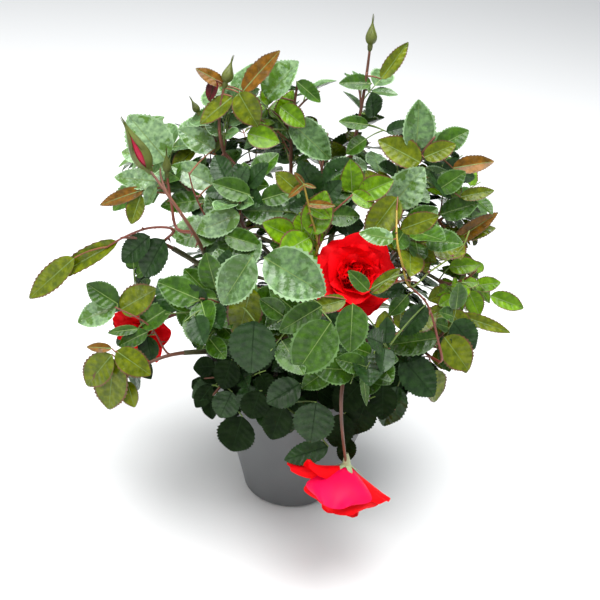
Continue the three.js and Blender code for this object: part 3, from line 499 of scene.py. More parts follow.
# Openings where the sky shows from the front: across, height and radius, in the plane through the knuckle.
SKY = [
    (-225, 475, 26), (-280, 355, 39), (-275, 180, 23), (-185, 505, 31), (-165, 535, 29), (-80, 545, 18),
    (0, 535, 25), (5, 480, 14), (105, 535, 45), (155, 490, 35), (195, 420, 31), (230, 355, 23),
    (265, 245, 27), (265, 180, 33), (215, 145, 27), (175, 70, 36), (130, 55, 17), (115, 75, 12),
    (-155, 55, 38), (-155, 120, 16), (-205, 20, 37), (-280, 40, 48), (-280, 110, 24), (-135, 165, 11),
    (-100, 5, 31), (-210, 325, 8), (-210, 250, 8), (-165, 479, 22), (-140, 498, 15), (-119, 520, 13),
    (224, 343, 21), (205, 372, 13), (9, 458, 15), (55, 452, 8), (-14, 404, 7),
    (96, 88, 10), (104, 111, 8), (-90, 518, 8), (-229, 396, 15), (-199, 449, 10),
    (-243, 322, 12), (-242, 260, 12), (221, 219, 10), (209, 194, 9), (182, 161, 9), (200, 338, 14),
    (223, 302, 8),
]

# Rings of petals: their number, length and width in bloom radii, how far they lean at the foot and at the
# rim with the roll of the rim, their cup, the bearing of the first, and the colour of their backs.
RINGS = [
    (5, 1.08, 1.25, (0.85, 1.5, 0.7), 0.3, 0.0, "petal_backs"),
    (6, 0.98, 1.1, (0.62, 1.2, 0.6), 0.45, 0.5, "petals"),
    (7, 0.90, 0.9, (0.42, 0.9, 0.45), 0.7, 0.9, "petals"),
    (7, 0.82, 0.75, (0.28, 0.62, 0.4), 0.9, 0.2, "petals"),
    (6, 0.74, 0.62, (0.15, 0.4, 0.3), 1.0, 0.7, "petals"),
]
OPEN_RINGS = [
    (5, 1.05, 1.0, (0.95, 1.5, 0.5), 0.3, 0.2, "petals"),
    (5, 0.95, 0.85, (0.65, 1.25, 0.5), 0.4, 0.7, "petals"),
    (6, 0.75, 0.65, (0.35, 0.85, 0.35), 0.6, 0.1, "petals"),
    (6, 0.6, 0.5, (0.1, 0.45, 0.25), 0.8, 0.5, "petals"),
]
NODDING_RINGS = [
    (1, 1.40, 1.70, (1.34, 0.28, 0.0), 0.85, math.radians(104), "petal_backs"),
    (1, 1.36, 2.00, (1.18, 0.18, 0.0), 0.95, math.radians(92), "petals"),
    (1, 1.22, 0.95, (1.10, 1.00, 0.3), 0.9, math.radians(12), "petals"),
    (1, 1.08, 0.72, (1.45, 1.75, 0.6), 1.5, math.radians(152), "petals"),
    (1, 1.26, 0.74, (1.35, 1.45, 0.4), 1.5, math.radians(184), "petals"),
    (1, 0.90, 0.85, (0.85, 0.50, 0.2), 0.6, math.radians(170), "petals"),
    (3, 1.08, 1.15, (1.10, 0.75, 0.5), 0.5, math.radians(235), "petals"),
    (5, 1.10, 1.05, (0.60, 0.20, 0.1), 0.7, 0.9, "petals"),
    (6, 1.00, 0.95, (0.45, 0.15, 0.2), 0.8, 0.2, "petals"),
    (6, 0.9, 0.7, (0.3, 0.1, 0.2), 0.9, 0.6, "petals"),
]

# Blooms: the way each faces, its radius, rings, unevenness and quarters, and the length of its sepals with
# how far they lean at the foot and at the tip.
BLOOMS = {
    "main_bloom": ((0.02, -0.8, 0.5), 46, RINGS, 0.4, 4, 24, (1.2, 2.0)),
    "left_bloom": ((-0.35, -0.8, 0.1), 36, OPEN_RINGS, 0.4, 0, 20, (1.2, 2.0)),
    "hanging_bloom": ((-0.08, -0.34, -0.93), 46, NODDING_RINGS, 0.1, 0, 21, (1.05, 1.0)),
}

# Buds at the ends of stems: the mass, the axis if it isn't the stem's, the radius, the length, the share of
# the length that the body fills, half the width of the slit in radians, and the bearing of its middle. Those
# at the ends of shoots start with their place.
BUDS = [
    ("right_bud", None, 6, 30, 0.72, 0.0, 0.0),
    ("top_left_bud", None, 6.2, 28, 0.72, 0.0, 0.0),
    ("left_bud", (-0.45, -0.1, 0.88), 9.6, 58, 0.84, 0.36, -1.4),
]
SIDE_BUDS = [
    ((-152, -70, 414), (-0.06, 0, 1), 4.4, 26, 0.7, 0.0, 0.0),
    ((-135, 20, 449), (-0.5, 0, 0.85), 4.0, 19, 0.7, 0.0, 0.0),
]

# How the body of a bud swells: shares of its length, and of its radius there.
BUD_SHARES = (0, 0.08, 0.2, 0.35, 0.5, 0.65, 0.8, 0.92, 1)
BUD_SWELL = (0.42, 0.74, 0.96, 1, 0.86, 0.6, 0.33, 0.15, 0.05)

# Each leaf colour: the base as linear red, green and blue, the strength of the wet film and of the gloss, and
# the pieces that take its rims, if they are apart, its midribs and its stalks. The film also paints a sheen
# into the colour, and the wet and pale bases are paler and bluer as a painted sky sheen.
LEAF_COLOURS = {
    # shade is a base darkened as painted shade, for the leaves low under the crown.
    "shade": ((0.007, 0.019, 0.004), 0.0, 0.05, None, "midribs_dark", "stalks_green"),
    "dark": ((0.016, 0.050, 0.010), 0.20, 0.20, None, "midribs_dark", "stalks_green"),
    "mid": ((0.037, 0.110, 0.004), 0.32, 0.25, "rims_green", "midribs", "stalks_green"),
    "wet": ((0.096, 0.210, 0.065), 0.74, 0.40, "rims_pale", "midribs", "stalks_green"),
    "fresh": ((0.115, 0.260, 0.001), 0.22, 0.20, "rims_red", "midribs", "stalks_green"),
    "olive": ((0.112, 0.160, 0.001), 0.25, 0.20, "rims_red", "midribs", "stalks_red"),
    "pale": ((0.190, 0.345, 0.155), 0.82, 0.45, "rims_pale", "midribs", "stalks_red"),
    "bronze": ((0.165, 0.078, 0.004), 0.20, 0.20, "rims_red", "midribs", "stalks_red"),
    "wine": ((0.085, 0.008, 0.010), 0.15, 0.20, None, "midribs_dark", "stalks_red"),
}

# The pieces beside the leaves: the base as linear red, green and blue, the roughness, how far the colour
# varies, its patches to the metre, the strength of the bump, and the specular level if it isn't 0.5.
FINISHES = {
    "midribs": ((0.17, 0.26, 0.06), 0.45, 0.2, 80, 0.1),
    # Dark midribs: the own tone of the dark and wine leaves, and painted shade on the shade leaves.
    "midribs_dark": ((0.010, 0.028, 0.006), 0.6, 0.2, 80, 0.1, 0.1),
    "stalks_green": ((0.13, 0.20, 0.035), 0.45, 0.25, 60, 0.2),
    "stalks_red": ((0.20, 0.07, 0.025), 0.45, 0.25, 60, 0.2),
    "stems": ((0.14, 0.050, 0.026), 0.45, 0.35, 40, 0.3),
    "petals": ((0.90, 0.0004, 0.0050), 0.6, 0.12, 70, 0.2, 0.12),
    # petal_backs is pinker than the petals: partly the paler back of a rose petal, and partly a painted wet
    # sheen.
    "petal_backs": ((0.84, 0.0015, 0.068), 0.5, 0.12, 60, 0.2, 0.15),
    "calyxes": ((0.38, 0.45, 0.24), 0.5, 0.25, 70, 0.3),
    "bud_greens": ((0.090, 0.108, 0.018), 0.45, 0.4, 60, 0.3, 0.35),
    "bud_petals": ((0.42, 0.004, 0.035), 0.45, 0.2, 90, 0.3),
    # rims_green and rims_pale are lighter than their blades: painted highlights along the leaf edges, the
    # pale ones as the glint of wet teeth.
    "rims_green": ((0.085, 0.175, 0.040), 0.45, 0.3, 70, 0.2),
    "rims_red": ((0.110, 0.050, 0.010), 0.5, 0.3, 70, 0.2),
    "rims_pale": ((0.250, 0.390, 0.190), 0.45, 0.3, 70, 0.2),
    "rind_red": ((0.190, 0.045, 0.025), 0.45, 0.25, 60, 0.3),
    "rind_yellow": ((0.330, 0.230, 0.025), 0.45, 0.25, 60, 0.3),
    "rind_green": ((0.150, 0.200, 0.025), 0.45, 0.25, 60, 0.3),
}


# Vectors and curves

def unit(vector):
    return vector / np.linalg.norm(vector)


def square_to(vector, direction):
    """The part of a vector that is square to a direction, at length 1."""
    return unit(vector - np.dot(vector, direction) * direction)


def leaning(way, lift, around):
    """A way that leans from another by an angle, to the side that a turn round it gives."""
    across = square_to(np.cross(way, UP) + 0.001, way)
    over = np.cross(across, way)
    return math.cos(lift) * way + math.sin(lift) * (math.cos(around) * across + math.sin(around) * over)


def frame_along(axis):
    """A matrix whose third column is the axis."""
    axis = unit(np.asarray(axis, float))
    side = np.array([1.0, 0, 0]) if abs(axis[0]) < 0.8 else np.array([0, 1.0, 0])
    first = square_to(side, axis)
    return np.stack([first, np.cross(axis, first), axis], axis=-1)


def on_circle(radius, angle, height):
    return np.array([radius * math.cos(angle), radius * math.sin(angle), height])


def grid_points(x, y, height):
    """A row of points from arrays of their coordinates."""
    return np.stack(np.broadcast_arrays(x, y, height), axis=-1).reshape(-1, 3)


def polar(radius, angle, height):
    return grid_points(radius * np.cos(angle), radius * np.sin(angle), height)


def swung(out, aside, height, bearing):
    """Points from how far out and aside they are on a bearing, and how high."""
    x = out * math.cos(bearing) - aside * math.sin(bearing)
    y = out * math.sin(bearing) + aside * math.cos(bearing)
    return grid_points(x, y, height)


def running_sum(values):
    """The sums of the values before each place, and of them all."""
    return np.concatenate([[0], np.cumsum(values)])


class Line:
    """A curve through closely set points, read by the share of its length."""

    def __init__(self, points):
        self.points = points
        self.places = running_sum(np.linalg.norm(np.diff(points, axis=0), axis=1))
        self.length = self.places[-1]
        self.places /= self.length

    def at(self, along):
        return np.array([np.interp(along, self.places, self.points[:, axis]) for axis in range(3)])

    def way(self, along):
        low = max(0.0, along - 0.01)
        high = min(1.0, along + 0.01)
        return unit(self.at(high) - self.at(low))

    def run(self, count):
        return np.array([self.at(along) for along in np.linspace(0, 1, count)])

    def nearest(self, point):
        """How far along the line its nearest place to a point lies, and how far away that is."""
        away = np.linalg.norm(self.points - point, axis=1)
        return self.places[np.argmin(away)], away.min()


def bend(start, middle, end):
    """A line with one bend."""
    step = np.linspace(0, 1, 101)[:, None]
    return Line((1 - step) ** 2 * start + 2 * (1 - step) * step * middle + step ** 2 * end)


def line_through(points):
    """A smooth line that passes through each point."""
    points = np.asarray(points, float)
    padded = np.vstack([2 * points[0] - points[1], points, 2 * points[-1] - points[-2]])
    step = np.linspace(0, 1, 12, endpoint=False)[:, None]
    spans = []
    for before, start, end, after in zip(padded, padded[1:], padded[2:], padded[3:]):
        curve = 2 * start + (end - before) * step + (2 * before - 5 * start + 4 * end - after) * step ** 2
        spans.append((curve + (3 * start - before - 3 * end + after) * step ** 3) / 2)
    return Line(np.vstack(spans + [points[-1:]]))


def random_from(seed):
    return np.random.default_rng(seed)


# Pieces

class Pile:
    """Points and faces of one joined piece, gathered a part at a time."""

    def __init__(self):
        self.points = []
        self.faces = []
        self.count = 0

    def add(self, points, *faces):
        for group in faces:
            self.faces.extend((np.asarray(group) + self.count).tolist())
        self.points.append(np.asarray(points, float))
        self.count += len(points)


piles = {}


def pile(name):
    return piles.setdefault(name, Pile())


def in_scene(name, data):
    """An object of the scene, made from its data."""
    made = bpy.data.objects.new(name, data)
    bpy.context.collection.objects.link(made)
    return made


def mesh_object(name, points, faces, material):
    data = bpy.data.meshes.new(name)
    data.from_pydata(points, [], faces)
    data.materials.append(material)
    return in_scene(name, data)


def piece(name, material):
    """The object made from a pile. It rides with the plant and its pot."""
    heap = piles[name]
    made = mesh_object(name, (np.concatenate(heap.points) * MM).tolist(), heap.faces, material)
    made.data.shade_smooth()
    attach(made, "root")
    return made


def grid_faces(rows, columns, closed=False):
    """Faces of a grid of points, row by row. A closed grid joins its last column to its first."""
    row = np.arange(rows - 1)[:, None]
    column = np.arange(columns if closed else columns - 1)[None, :]
    after = (column + 1) % columns
    low = row * columns
    high = low + columns
    return np.stack([low + column, low + after, high + after, high + column], axis=-1).reshape(-1, 4)


def tube(name, points, radii, sides):
    """A tube round a run of points, with a pointed tip."""
    points = np.asarray(points, float)
    ways = np.gradient(points, axis=0)
    normal = square_to(UP + np.array([0.31, 0.17, 0]), unit(ways[0]))
    angles = np.arange(sides) * 2 * math.pi / sides
    rings = []
    for point, way, radius in zip(points, ways, radii):
        way = unit(way)
        normal = square_to(normal, way)
        across = np.cross(way, normal)
        rings.append(point + radius * (np.outer(np.cos(angles), normal) + np.outer(np.sin(angles), across)))
    count = len(points) * sides
    tip = points[-1] + unit(ways[-1]) * radii[-1] * 1.5
    last = np.arange(sides) + count - sides
    fan = np.stack([last, np.roll(last, -1), np.full(sides, count)], axis=-1)
    pile(name).add(np.vstack(rings + [tip]), grid_faces(len(points), sides, True), fan)


def tapering(name, line, count, start_radius, tip_radius, sides):
    """A tube along a line, thinner towards its tip."""
    tube(name, line.run(count), np.linspace(start_radius, tip_radius, count), sides)


def turned(name, profile, segments, place=None, uneven=None):
    """A surface of revolution from a profile of radius and height, put in place by a matrix."""
    profile = np.asarray(profile, float)
    angle = np.tile(np.arange(segments) * 2 * math.pi / segments, len(profile))
    radius = np.repeat(profile[:, 0], segments)
    height = np.repeat(profile[:, 1], segments)
    if uneven is not None:
        radius, height = uneven(radius, height, angle)
    points = polar(radius, angle, height)
    if place is not None:
        turn, origin = place
        points = points @ turn.T + origin
    pile(name).add(points, grid_faces(len(profile), segments, True))


# Limbs and stems

def cane_curve(bearing, tip):
    start = on_circle(CANE_RING_RADIUS, math.radians(bearing), COMPOST_TOP + CANE_START_HEIGHT)
    end = np.array(tip, float)
    share = np.array([CANE_BEND_ACROSS, CANE_BEND_ACROSS, CANE_BEND_UP])
    return bend(start, start + share * (end - start), end)


def bough_curve(cane, along, tip):
    start = cane.at(along)
    end = np.array(tip, float)
    run = np.linalg.norm(end - start)
    direction = unit((1 - BOUGH_BEND) * unit(end - start) + BOUGH_BEND * cane.way(along))
    return bend(start, start + BOUGH_BEND * run * direction, end)


limbs = {name: (cane_curve(*facts), CANE_RADIUS, CANE_TIP_RADIUS) for name, facts in CANES.items()}
for bough, (cane, along, tip) in BOUGHS.items():
    limbs[bough] = (bough_curve(limbs[cane][0], along, tip), BOUGH_RADIUS, BOUGH_TIP_RADIUS)
limb_lines = [line for line, _, _ in limbs.values()]
limb_points = np.vstack([line.run(math.ceil(line.length / 3)) for line in limb_lines])


def stem_curve(each):
    """The stem of a mass: it carries on from its limb's tip, or springs low from the knuckle over the lip."""
    tip = each["tip"]
    if each["limb"] == "crown_stem":
        start = on_circle(SKIRT_START_RADIUS, math.radians(each["bearing"]), COMPOST_TOP + SKIRT_START_HEIGHT)
        middle = start + SKIRT_BEND * (tip - start)
        middle[2] = max(start[2], tip[2]) + SKIRT_RISE
        return bend(start, middle, tip)
    limb = limbs[each["limb"]][0]
    start = limb.at(1)
    return bend(start, start + STEM_BEND * np.linalg.norm(tip - start) * limb.way(1), tip)


for each in MASSES:
    each["stem"] = stem_curve(each)
    each["centre"] = each["stem"].at(SKIRT_CENTRE if each["limb"] == "crown_stem" else 0.5)
    each["shoots"] = [line_through(points) for name, _, _, points in SHOOTS if name == each["name"]]
stems = {each["name"]: each["stem"] for each in MASSES}


# Leaflets

def leaflet_pattern():
    """A leaflet's grid: share of the length, share of the width, and the relief of the veins."""
    row = np.arange(LEAF_ROWS + 1)
    middle = row / LEAF_ROWS
    edge = middle + VEIN_SWEEP * np.sin(math.pi * middle)
    out = np.abs(LEAF_COLUMNS)[None, :]
    along = middle[:, None] * (1 - out) + edge[:, None] * out
    bounded = np.clip(edge, 0, 1)
    half = bounded ** FOOT_BLUNTNESS * (1 - bounded) ** TIP_BLUNTNESS
    half = half / half.max()
    half *= 1 - TIP_PINCH * np.clip((bounded - (1 - TIP_SHARE)) / TIP_SHARE, 0, 1)
    across = half[:, None] * LEAF_COLUMNS[None, :]
    inner = (row > 0) & (row < LEAF_ROWS)
    tooth = np.where(row % 2 == 1, 1, -1) * inner * TOOTH
    is_edge = (out == 1)
    across = across * (1 + tooth[:, None] * is_edge)
    along = along + TOOTH_LEAN * (tooth[:, None] > 0) * is_edge
    vein = np.where(row % VEIN_ROWS == 0, -1.0, QUILT + QUILT * (row % VEIN_ROWS == VEIN_ROWS // 2))
    relief = vein[:, None] * np.sin(math.pi * np.clip(out, 0, 0.97)) ** 0.5
    relief[:, len(LEAF_COLUMNS) // 2] = MIDRIB_RELIEF
    return along.ravel(), across.ravel(), relief.ravel()


ALONG, ACROSS, RELIEF = leaflet_pattern()
LEAF_FACES = grid_faces(LEAF_ROWS + 1, len(LEAF_COLUMNS))
BY_ROW = LEAF_FACES.reshape(LEAF_ROWS, len(LEAF_COLUMNS) - 1, 4)


def own_points(faces):
    """The points that some faces of the grid use, and the faces by the order of those points."""
    used, order = np.unique(faces, return_inverse=True)
    return used, order.reshape(faces.shape)


BLADE_POINTS, BLADE_FACES = own_points(BY_ROW[:, 1:-1].reshape(-1, 4))
RIM_POINTS, RIM_FACES = own_points(BY_ROW[:, [0, -1]].reshape(-1, 4))
MIDRIB = np.arange(LEAF_ROWS + 1) * len(LEAF_COLUMNS) + len(LEAF_COLUMNS) // 2
OUTLINE_ANGLES = np.arange(12) * math.pi / 6


def leaf_normal(point, direction):
    """The way a leaf faces: up and out from the bush's middle, and towards the light on its front side."""
    outward = unit(np.array([point[0], point[1], 0.0]))
    lit = np.clip((LIGHT_EDGE - point[1]) / LIGHT_DEPTH, 0, 1)
    return square_to(UP + LEAFLET_OUTWARD * outward + LIGHT_SHARE * lit * LIGHT_WAY, direction)


def leaflet_of(joint, root, forward, normal, length, ratio=LEAFLET_WIDTH_RATIO):
    """The facts of a leaflet: its short stem starts at the joint, and its blade at the root."""
    return dict(joint=joint, root=root, forward=forward, normal=normal, side=np.cross(normal, forward),
                length=length, width=length * ratio, centre=root + forward * length / 2)


def outline_of(leaf):
    """The middle and points round the outline of a leaflet."""
    reach = leaf["length"] / 2 * np.cos(OUTLINE_ANGLES)
    spread = leaf["width"] / 2 * np.sin(OUTLINE_ANGLES)
    ring = leaf["centre"] + np.outer(reach, leaf["forward"]) + np.outer(spread, leaf["side"])
    return np.vstack([leaf["centre"], ring])


def clear_of_pot(points):
    """Whether points keep clear of the pot and of the compost in it."""
    height = points[:, 2]
    collar_foot = POT_HEIGHT - POT_COLLAR_HEIGHT
    rise = np.clip(height / collar_foot, 0, 1)
    radius = POT_BODY_FOOT_RADIUS + (POT_BODY_TOP_RADIUS - POT_BODY_FOOT_RADIUS) * rise
    radius = np.where(height >= collar_foot, POT_LIP_RADIUS, radius)
    beside = np.hypot(points[:, 0], points[:, 1]) > radius + POT_MARGIN
    return bool(np.all((height > POT_HEIGHT + POT_MARGIN) | (beside & (height > POT_MARGIN))))


class Placed:
    """The leaflets set so far, held as arrays, so that a new one can be tried against all of them at once."""

    def __init__(self):
        self.rows = np.zeros((MOST_LEAFLETS, 14))
        self.count = 0

    def add(self, leaf):
        self.rows[self.count] = np.concatenate([leaf["centre"], leaf["forward"], leaf["side"], leaf["normal"],
                                                [leaf["length"] / 2, leaf["width"] / 2]])
        self.count += 1

    def crossed_by(self, leaf):
        rows = self.rows[:self.count]
        near = rows[np.linalg.norm(rows[:, :3] - leaf["centre"], axis=1) < rows[:, 12] + leaf["length"] / 2]
        if len(near) == 0:
            return False
        points = outline_of(leaf)[:, None, :] - near[None, :, :3]
        along, across, above = [np.abs(np.einsum("pnk,nk->pn", points, near[:, first:first + 3]))
                                for first in (3, 6, 9)]
        inside = (along / near[:, 12]) ** 2 + (across / near[:, 13]) ** 2 < 1
        return bool(np.any(inside & (above < LEAFLET_CLEARANCE)))


class Sight:
    """Lines of sight from the front that random leaves keep out of, each up to the thing that it ends at."""

    def __init__(self):
        self.ways = np.zeros((0, 3))
        self.far = np.zeros(0)
        self.clear = np.zeros(0)

    def add(self, target, clear, endless=False):
        way = target - FRONT_EYE
        distance = np.linalg.norm(way)
        self.ways = np.vstack([self.ways, way / distance])
        self.far = np.append(self.far, 10 * distance if endless else distance)
        self.clear = np.append(self.clear, clear)

    def hidden_by(self, points):
        offset = points - FRONT_EYE
        depth = offset @ self.ways.T
        aside = np.sqrt(np.maximum(np.sum(offset ** 2, axis=1)[:, None] - depth ** 2, 0))
        return bool(np.any((depth < self.far) & (aside < self.clear)))


placed = Placed()
drawn = []
bloom_balls = []
sight = Sight()
for x, z, radius in SKY:
    sight.add(np.array([x, 0.0, z]), radius, True)


def leaf_fits(leaf, each):
    """Whether a leaflet keeps in its mass's reach and clear of the pot, limbs, blooms and lines of sight."""
    points = outline_of(leaf)
    if np.any(np.linalg.norm(points - each["centre"], axis=1) > each["reach"]):
        return False
    if not clear_of_pot(points):
        return False
    if any(np.any(np.linalg.norm(points - ball, axis=1) < radius) for ball, radius in bloom_balls):
        return False
    offset = limb_points - leaf["centre"]
    along = np.abs(offset @ leaf["forward"]) / (leaf["length"] / 2 + LIMB_BERTH)
    across = np.abs(offset @ leaf["side"]) / (leaf["width"] / 2 + LIMB_BERTH)
    above = np.abs(offset @ leaf["normal"])
    if np.any((along + across < 1) & (above < CANE_TIP_RADIUS + LIMB_MARGIN)):
        return False
    return not sight.hidden_by(points)


# Leaves

def stalk_ratio(pairs):
    """The length of a leaf's stalk, in leaflets."""
    return PETIOLE + PAIR_SPACING * (pairs - 1) + END_SPACING


def compound_leaf(base, direction, size, pairs, each, random):
    """An arching stalk with leaflets in pairs and one at its end. What doesn't fit is left out."""
    length = stalk_ratio(pairs) * size
    middle = base + 0.5 * length * direction + STALK_DROOP * length * leaf_normal(base, direction)
    curve = bend(base, middle, base + length * direction)
    leaflets = []
    for pair in range(pairs):
        along = (PETIOLE + PAIR_SPACING * pair) / stalk_ratio(pairs)
        joint = curve.at(along)
        way = curve.way(along)
        normal = leaf_normal(joint, way)
        side = np.cross(normal, way)
        for hand in (1, -1):
            angle = LEAFLET_ANGLE + LEAFLET_ANGLE_SPREAD * random.random()
            forward = unit(math.cos(angle) * way + hand * math.sin(angle) * side
                           + LEAFLET_LIFT_SPREAD * (random.random() - 0.5) * normal)
            own = size * (SMALLEST_SIDE_LEAFLET + (1 - SMALLEST_SIDE_LEAFLET) * random.random())
            root = joint + LEAFLET_STEM * forward
            leaflets.append(leaflet_of(joint, root, forward, leaf_normal(root, forward), own))
    tip = curve.at(1)
    way = curve.way(1)
    leaflets.append(leaflet_of(tip, tip, way, leaf_normal(tip, way), END_LEAFLET * size))
    return curve, [leaf for leaf in leaflets if leaf_fits(leaf, each)]


def draw_leaflet(leaf, colour, random):
    """One leaflet: toothed, folded along its midrib, quilted between the veins and bent over its length."""
    length = leaf["length"]
    half = leaf["width"] / 2
    fold = FOLD + FOLD_SPREAD * random.random()
    droop = length * (DROOP + DROOP_SPREAD * random.random())
    wave = length * WAVE * random.random()
    phase = 2 * math.pi * random.random()
    twist = TWIST * (random.random() - 0.5)
    rise = fold * half * np.abs(ACROSS) - droop * ALONG ** 2 + VEIN_DEPTH * length * RELIEF
    rise += wave * np.abs(ACROSS) ** 2 * np.sin(5 * math.pi * ALONG + phase)
    spread = half * ACROSS
    rise += twist * ALONG * spread
    points = (leaf["root"] + np.outer(ALONG * length, leaf["forward"]) + np.outer(spread, leaf["side"])
              + np.outer(rise, leaf["normal"]))
    rims, midribs = LEAF_COLOURS[colour][3:5]
    if rims:
        pile(f"leaves_{colour}").add(points[BLADE_POINTS], BLADE_FACES)
        pile(rims).add(points[RIM_POINTS], RIM_FACES)
    else:
        pile(f"leaves_{colour}").add(points, LEAF_FACES)
    ridge = points[MIDRIB] + MIDRIB_LIFT * leaf["normal"]
    width = np.linspace(MIDRIB_HALF_WIDTH, MIDRIB_TIP_HALF_WIDTH, len(ridge))[:, None] * leaf["side"]
    strip = np.stack([ridge - width, ridge + width], axis=1).reshape(-1, 3)
    pile(midribs).add(strip, grid_faces(len(ridge), 2))
    leaf["surface"] = points


def draw_leaf(curve, leaflets, colour, random):
    """A leaf: its stalk if it has one, and its leaflets, each on a short stem of its own."""
    stalks = LEAF_COLOURS[colour][5]
    if curve is not None:
        tapering(stalks, curve, 7, STALK_RADIUS, STALK_TIP_RADIUS, 5)
    for leaf in leaflets:
        joint = leaf["joint"]
        foot = leaf["root"] + 0.5 * leaf["forward"]
        if np.linalg.norm(foot - joint) > 1:
            tube(stalks, [joint, (joint + foot) / 2, foot], LEAFLET_STEM_RADII, 4)
        draw_leaflet(leaf, colour, random)
        drawn.append(leaf)


# Masses

def spring_leaf(carrier, turn, each, random):
    """A leaf that springs from a carrier, a golden angle round from the one before, and leans outward."""
    along = BARE_FOOT + (1 - BARE_FOOT) * ((turn * GOLDEN_RATIO) % 1)
    base = carrier.at(along)
    lift = LEAF_LIFT + LEAF_LIFT_SPREAD * random.random()
    direction = leaning(carrier.way(along), lift, turn * GOLDEN_ANGLE)
    share = OUTWARD_SHARE * random.random()
    direction = unit((1 - share) * direction + share * unit(base - BUSH_CORE))
    size = each["leaflet"] * (SMALLEST_LEAF + LEAF_SIZE_SPREAD * random.random())
    pairs = each["pairs"] if random.random() < 0.5 else max(1, each["pairs"] - 1)
    return compound_leaf(base, direction, size, pairs, each, random)


def twig_curves(each):
    """Finer twigs that fork from the stem by the same turn."""
    stem = each["stem"]
    for turn in range(TWIGS):
        along = TWIG_START + TWIG_RANGE * turn / TWIGS
        base = stem.at(along)
        way = stem.way(along)
        direction = unit(leaning(way, TWIG_LIFT, (turn + 0.5) * GOLDEN_ANGLE))
        end = base + TWIG_SHARE * each["reach"] * direction
        middle = base + 0.5 * TWIG_SHARE * each["reach"] * unit(way + direction)
        if clear_of_pot(np.array([end, middle])):
            yield bend(base, middle, end)


def set_led_leaves(each, random):
    """The leaves of a mass that are set one by one, each on a twig from the nearest part of a stem or shoot.
    """
    for foot, tip, colour, ratio, *pairs in LED_LEAVES.get(each["name"], ()):
        foot = np.array(foot, float)
        tip = np.array(tip, float)
        distance = np.linalg.norm(tip - foot)
        direction = (tip - foot) / distance
        if pairs:
            size = distance / (stalk_ratio(pairs[0]) + END_LEAFLET)
            curve, leaflets = compound_leaf(foot, direction, size, pairs[0], each, random)
        else:
            normal = square_to(leaf_normal(foot, direction) + FRONT_SHARE * unit(FRONT_EYE - foot), direction)
            curve = None
            leaflets = [leaflet_of(foot, foot, direction, normal, distance, ratio)]
        carrier = min([each["stem"], *each["shoots"]], key=lambda line: line.nearest(foot)[1])
        base = carrier.at(min(carrier.nearest(foot)[0], LAST_LED_TWIG))
        middle = (base + foot) / 2 + LED_TWIG_ARCH * np.linalg.norm(foot - base) * UP
        twig = bend(base, middle, foot)
        tapering(LEAF_COLOURS[colour][5], twig, 8, LED_TWIG_RADIUS, LED_TWIG_TIP_RADIUS, 5)
        for leaf in leaflets:
            placed.add(leaf)
            sight.add(leaf["centre"], MOST_HIDING * leaf["width"])
        draw_leaf(curve, leaflets, colour, random)


def grow(each, random):
    """A mass: its stem, finer twigs, and the leaves that spring from them. The hanging bloom has none."""
    stem = each["stem"]
    tapering("stems", stem, 16, STEM_RADIUS, STEM_TIP_RADIUS, 8)
    if each["name"] == "hanging_bloom":
        return
    carriers = [stem, *twig_curves(each)]
    used = set()
    wanted = round(FULLNESS * each["leaves"])
    made = 0
    for turn in range(MOST_TRIES):
        if made >= wanted:
            break
        index = turn % len(carriers)
        curve, leaflets = spring_leaf(carriers[index], turn, each, random)
        if len(leaflets) < FEWEST_LEAFLETS or any(placed.crossed_by(leaf) for leaf in leaflets):
            continue
        for leaf in leaflets:
            placed.add(leaf)
        draw_leaf(curve, leaflets, each["palette"][int(random.integers(len(each["palette"])))], random)
        used.add(index)
        made += 1
    for index in used - {0}:
        tapering("stems", carriers[index], 10, TWIG_RADIUS, TWIG_TIP_RADIUS, 6)


# Blooms and buds

def petal(back, base, turn, bearing, lean, length, width, cup, ruffle, phase):
    """A petal: it leaves the base at one lean, ends at another, curves across and rolls at its rim."""
    first_lean, last_lean, roll = lean
    share = np.linspace(0, 1, PETAL_ROWS)
    angle = first_lean + (last_lean - first_lean) * share ** 1.3 + roll * share ** 5
    step = length / (PETAL_ROWS - 1)
    out = running_sum(np.sin(angle[:-1]) * step)
    high = running_sum(np.cos(angle[:-1]) * step)
    half = width / 2 * np.sin(math.pi * (0.10 + 0.72 * share ** 0.95)) ** 1.1
    spread = np.linspace(-1, 1, PETAL_COLUMNS)
    curl = spread * cup
    sweep = np.outer(half, np.sin(curl) / max(cup, 0.05))
    inward = np.outer(half, (1 - np.cos(curl)) / max(cup, 0.05))
    ripple = ruffle * np.outer(share ** 3, np.sin(2.5 * math.pi * spread + phase))
    shorter = np.outer(share ** 3, spread ** 2) * length * PETAL_NOTCH
    sine = np.sin(angle)[:, None]
    cosine = np.cos(angle)[:, None]
    radial = out[:, None] + (ripple - inward) * cosine - shorter * sine
    height = high[:, None] + (inward - ripple) * sine - shorter * cosine
    points = swung(radial, sweep, height, bearing) @ turn.T + base
    faces = grid_faces(PETAL_ROWS, PETAL_COLUMNS)
    pile("petals").add(points, faces)
    grid = points.reshape(PETAL_ROWS, PETAL_COLUMNS, 3)
    normal = np.cross(np.gradient(grid, axis=1), np.gradient(grid, axis=0)).reshape(-1, 3)
    normal /= np.linalg.norm(normal, axis=1)[:, None] + 1e-9
    pile(back).add(points + PETAL_THICKNESS * normal, faces[:, ::-1])


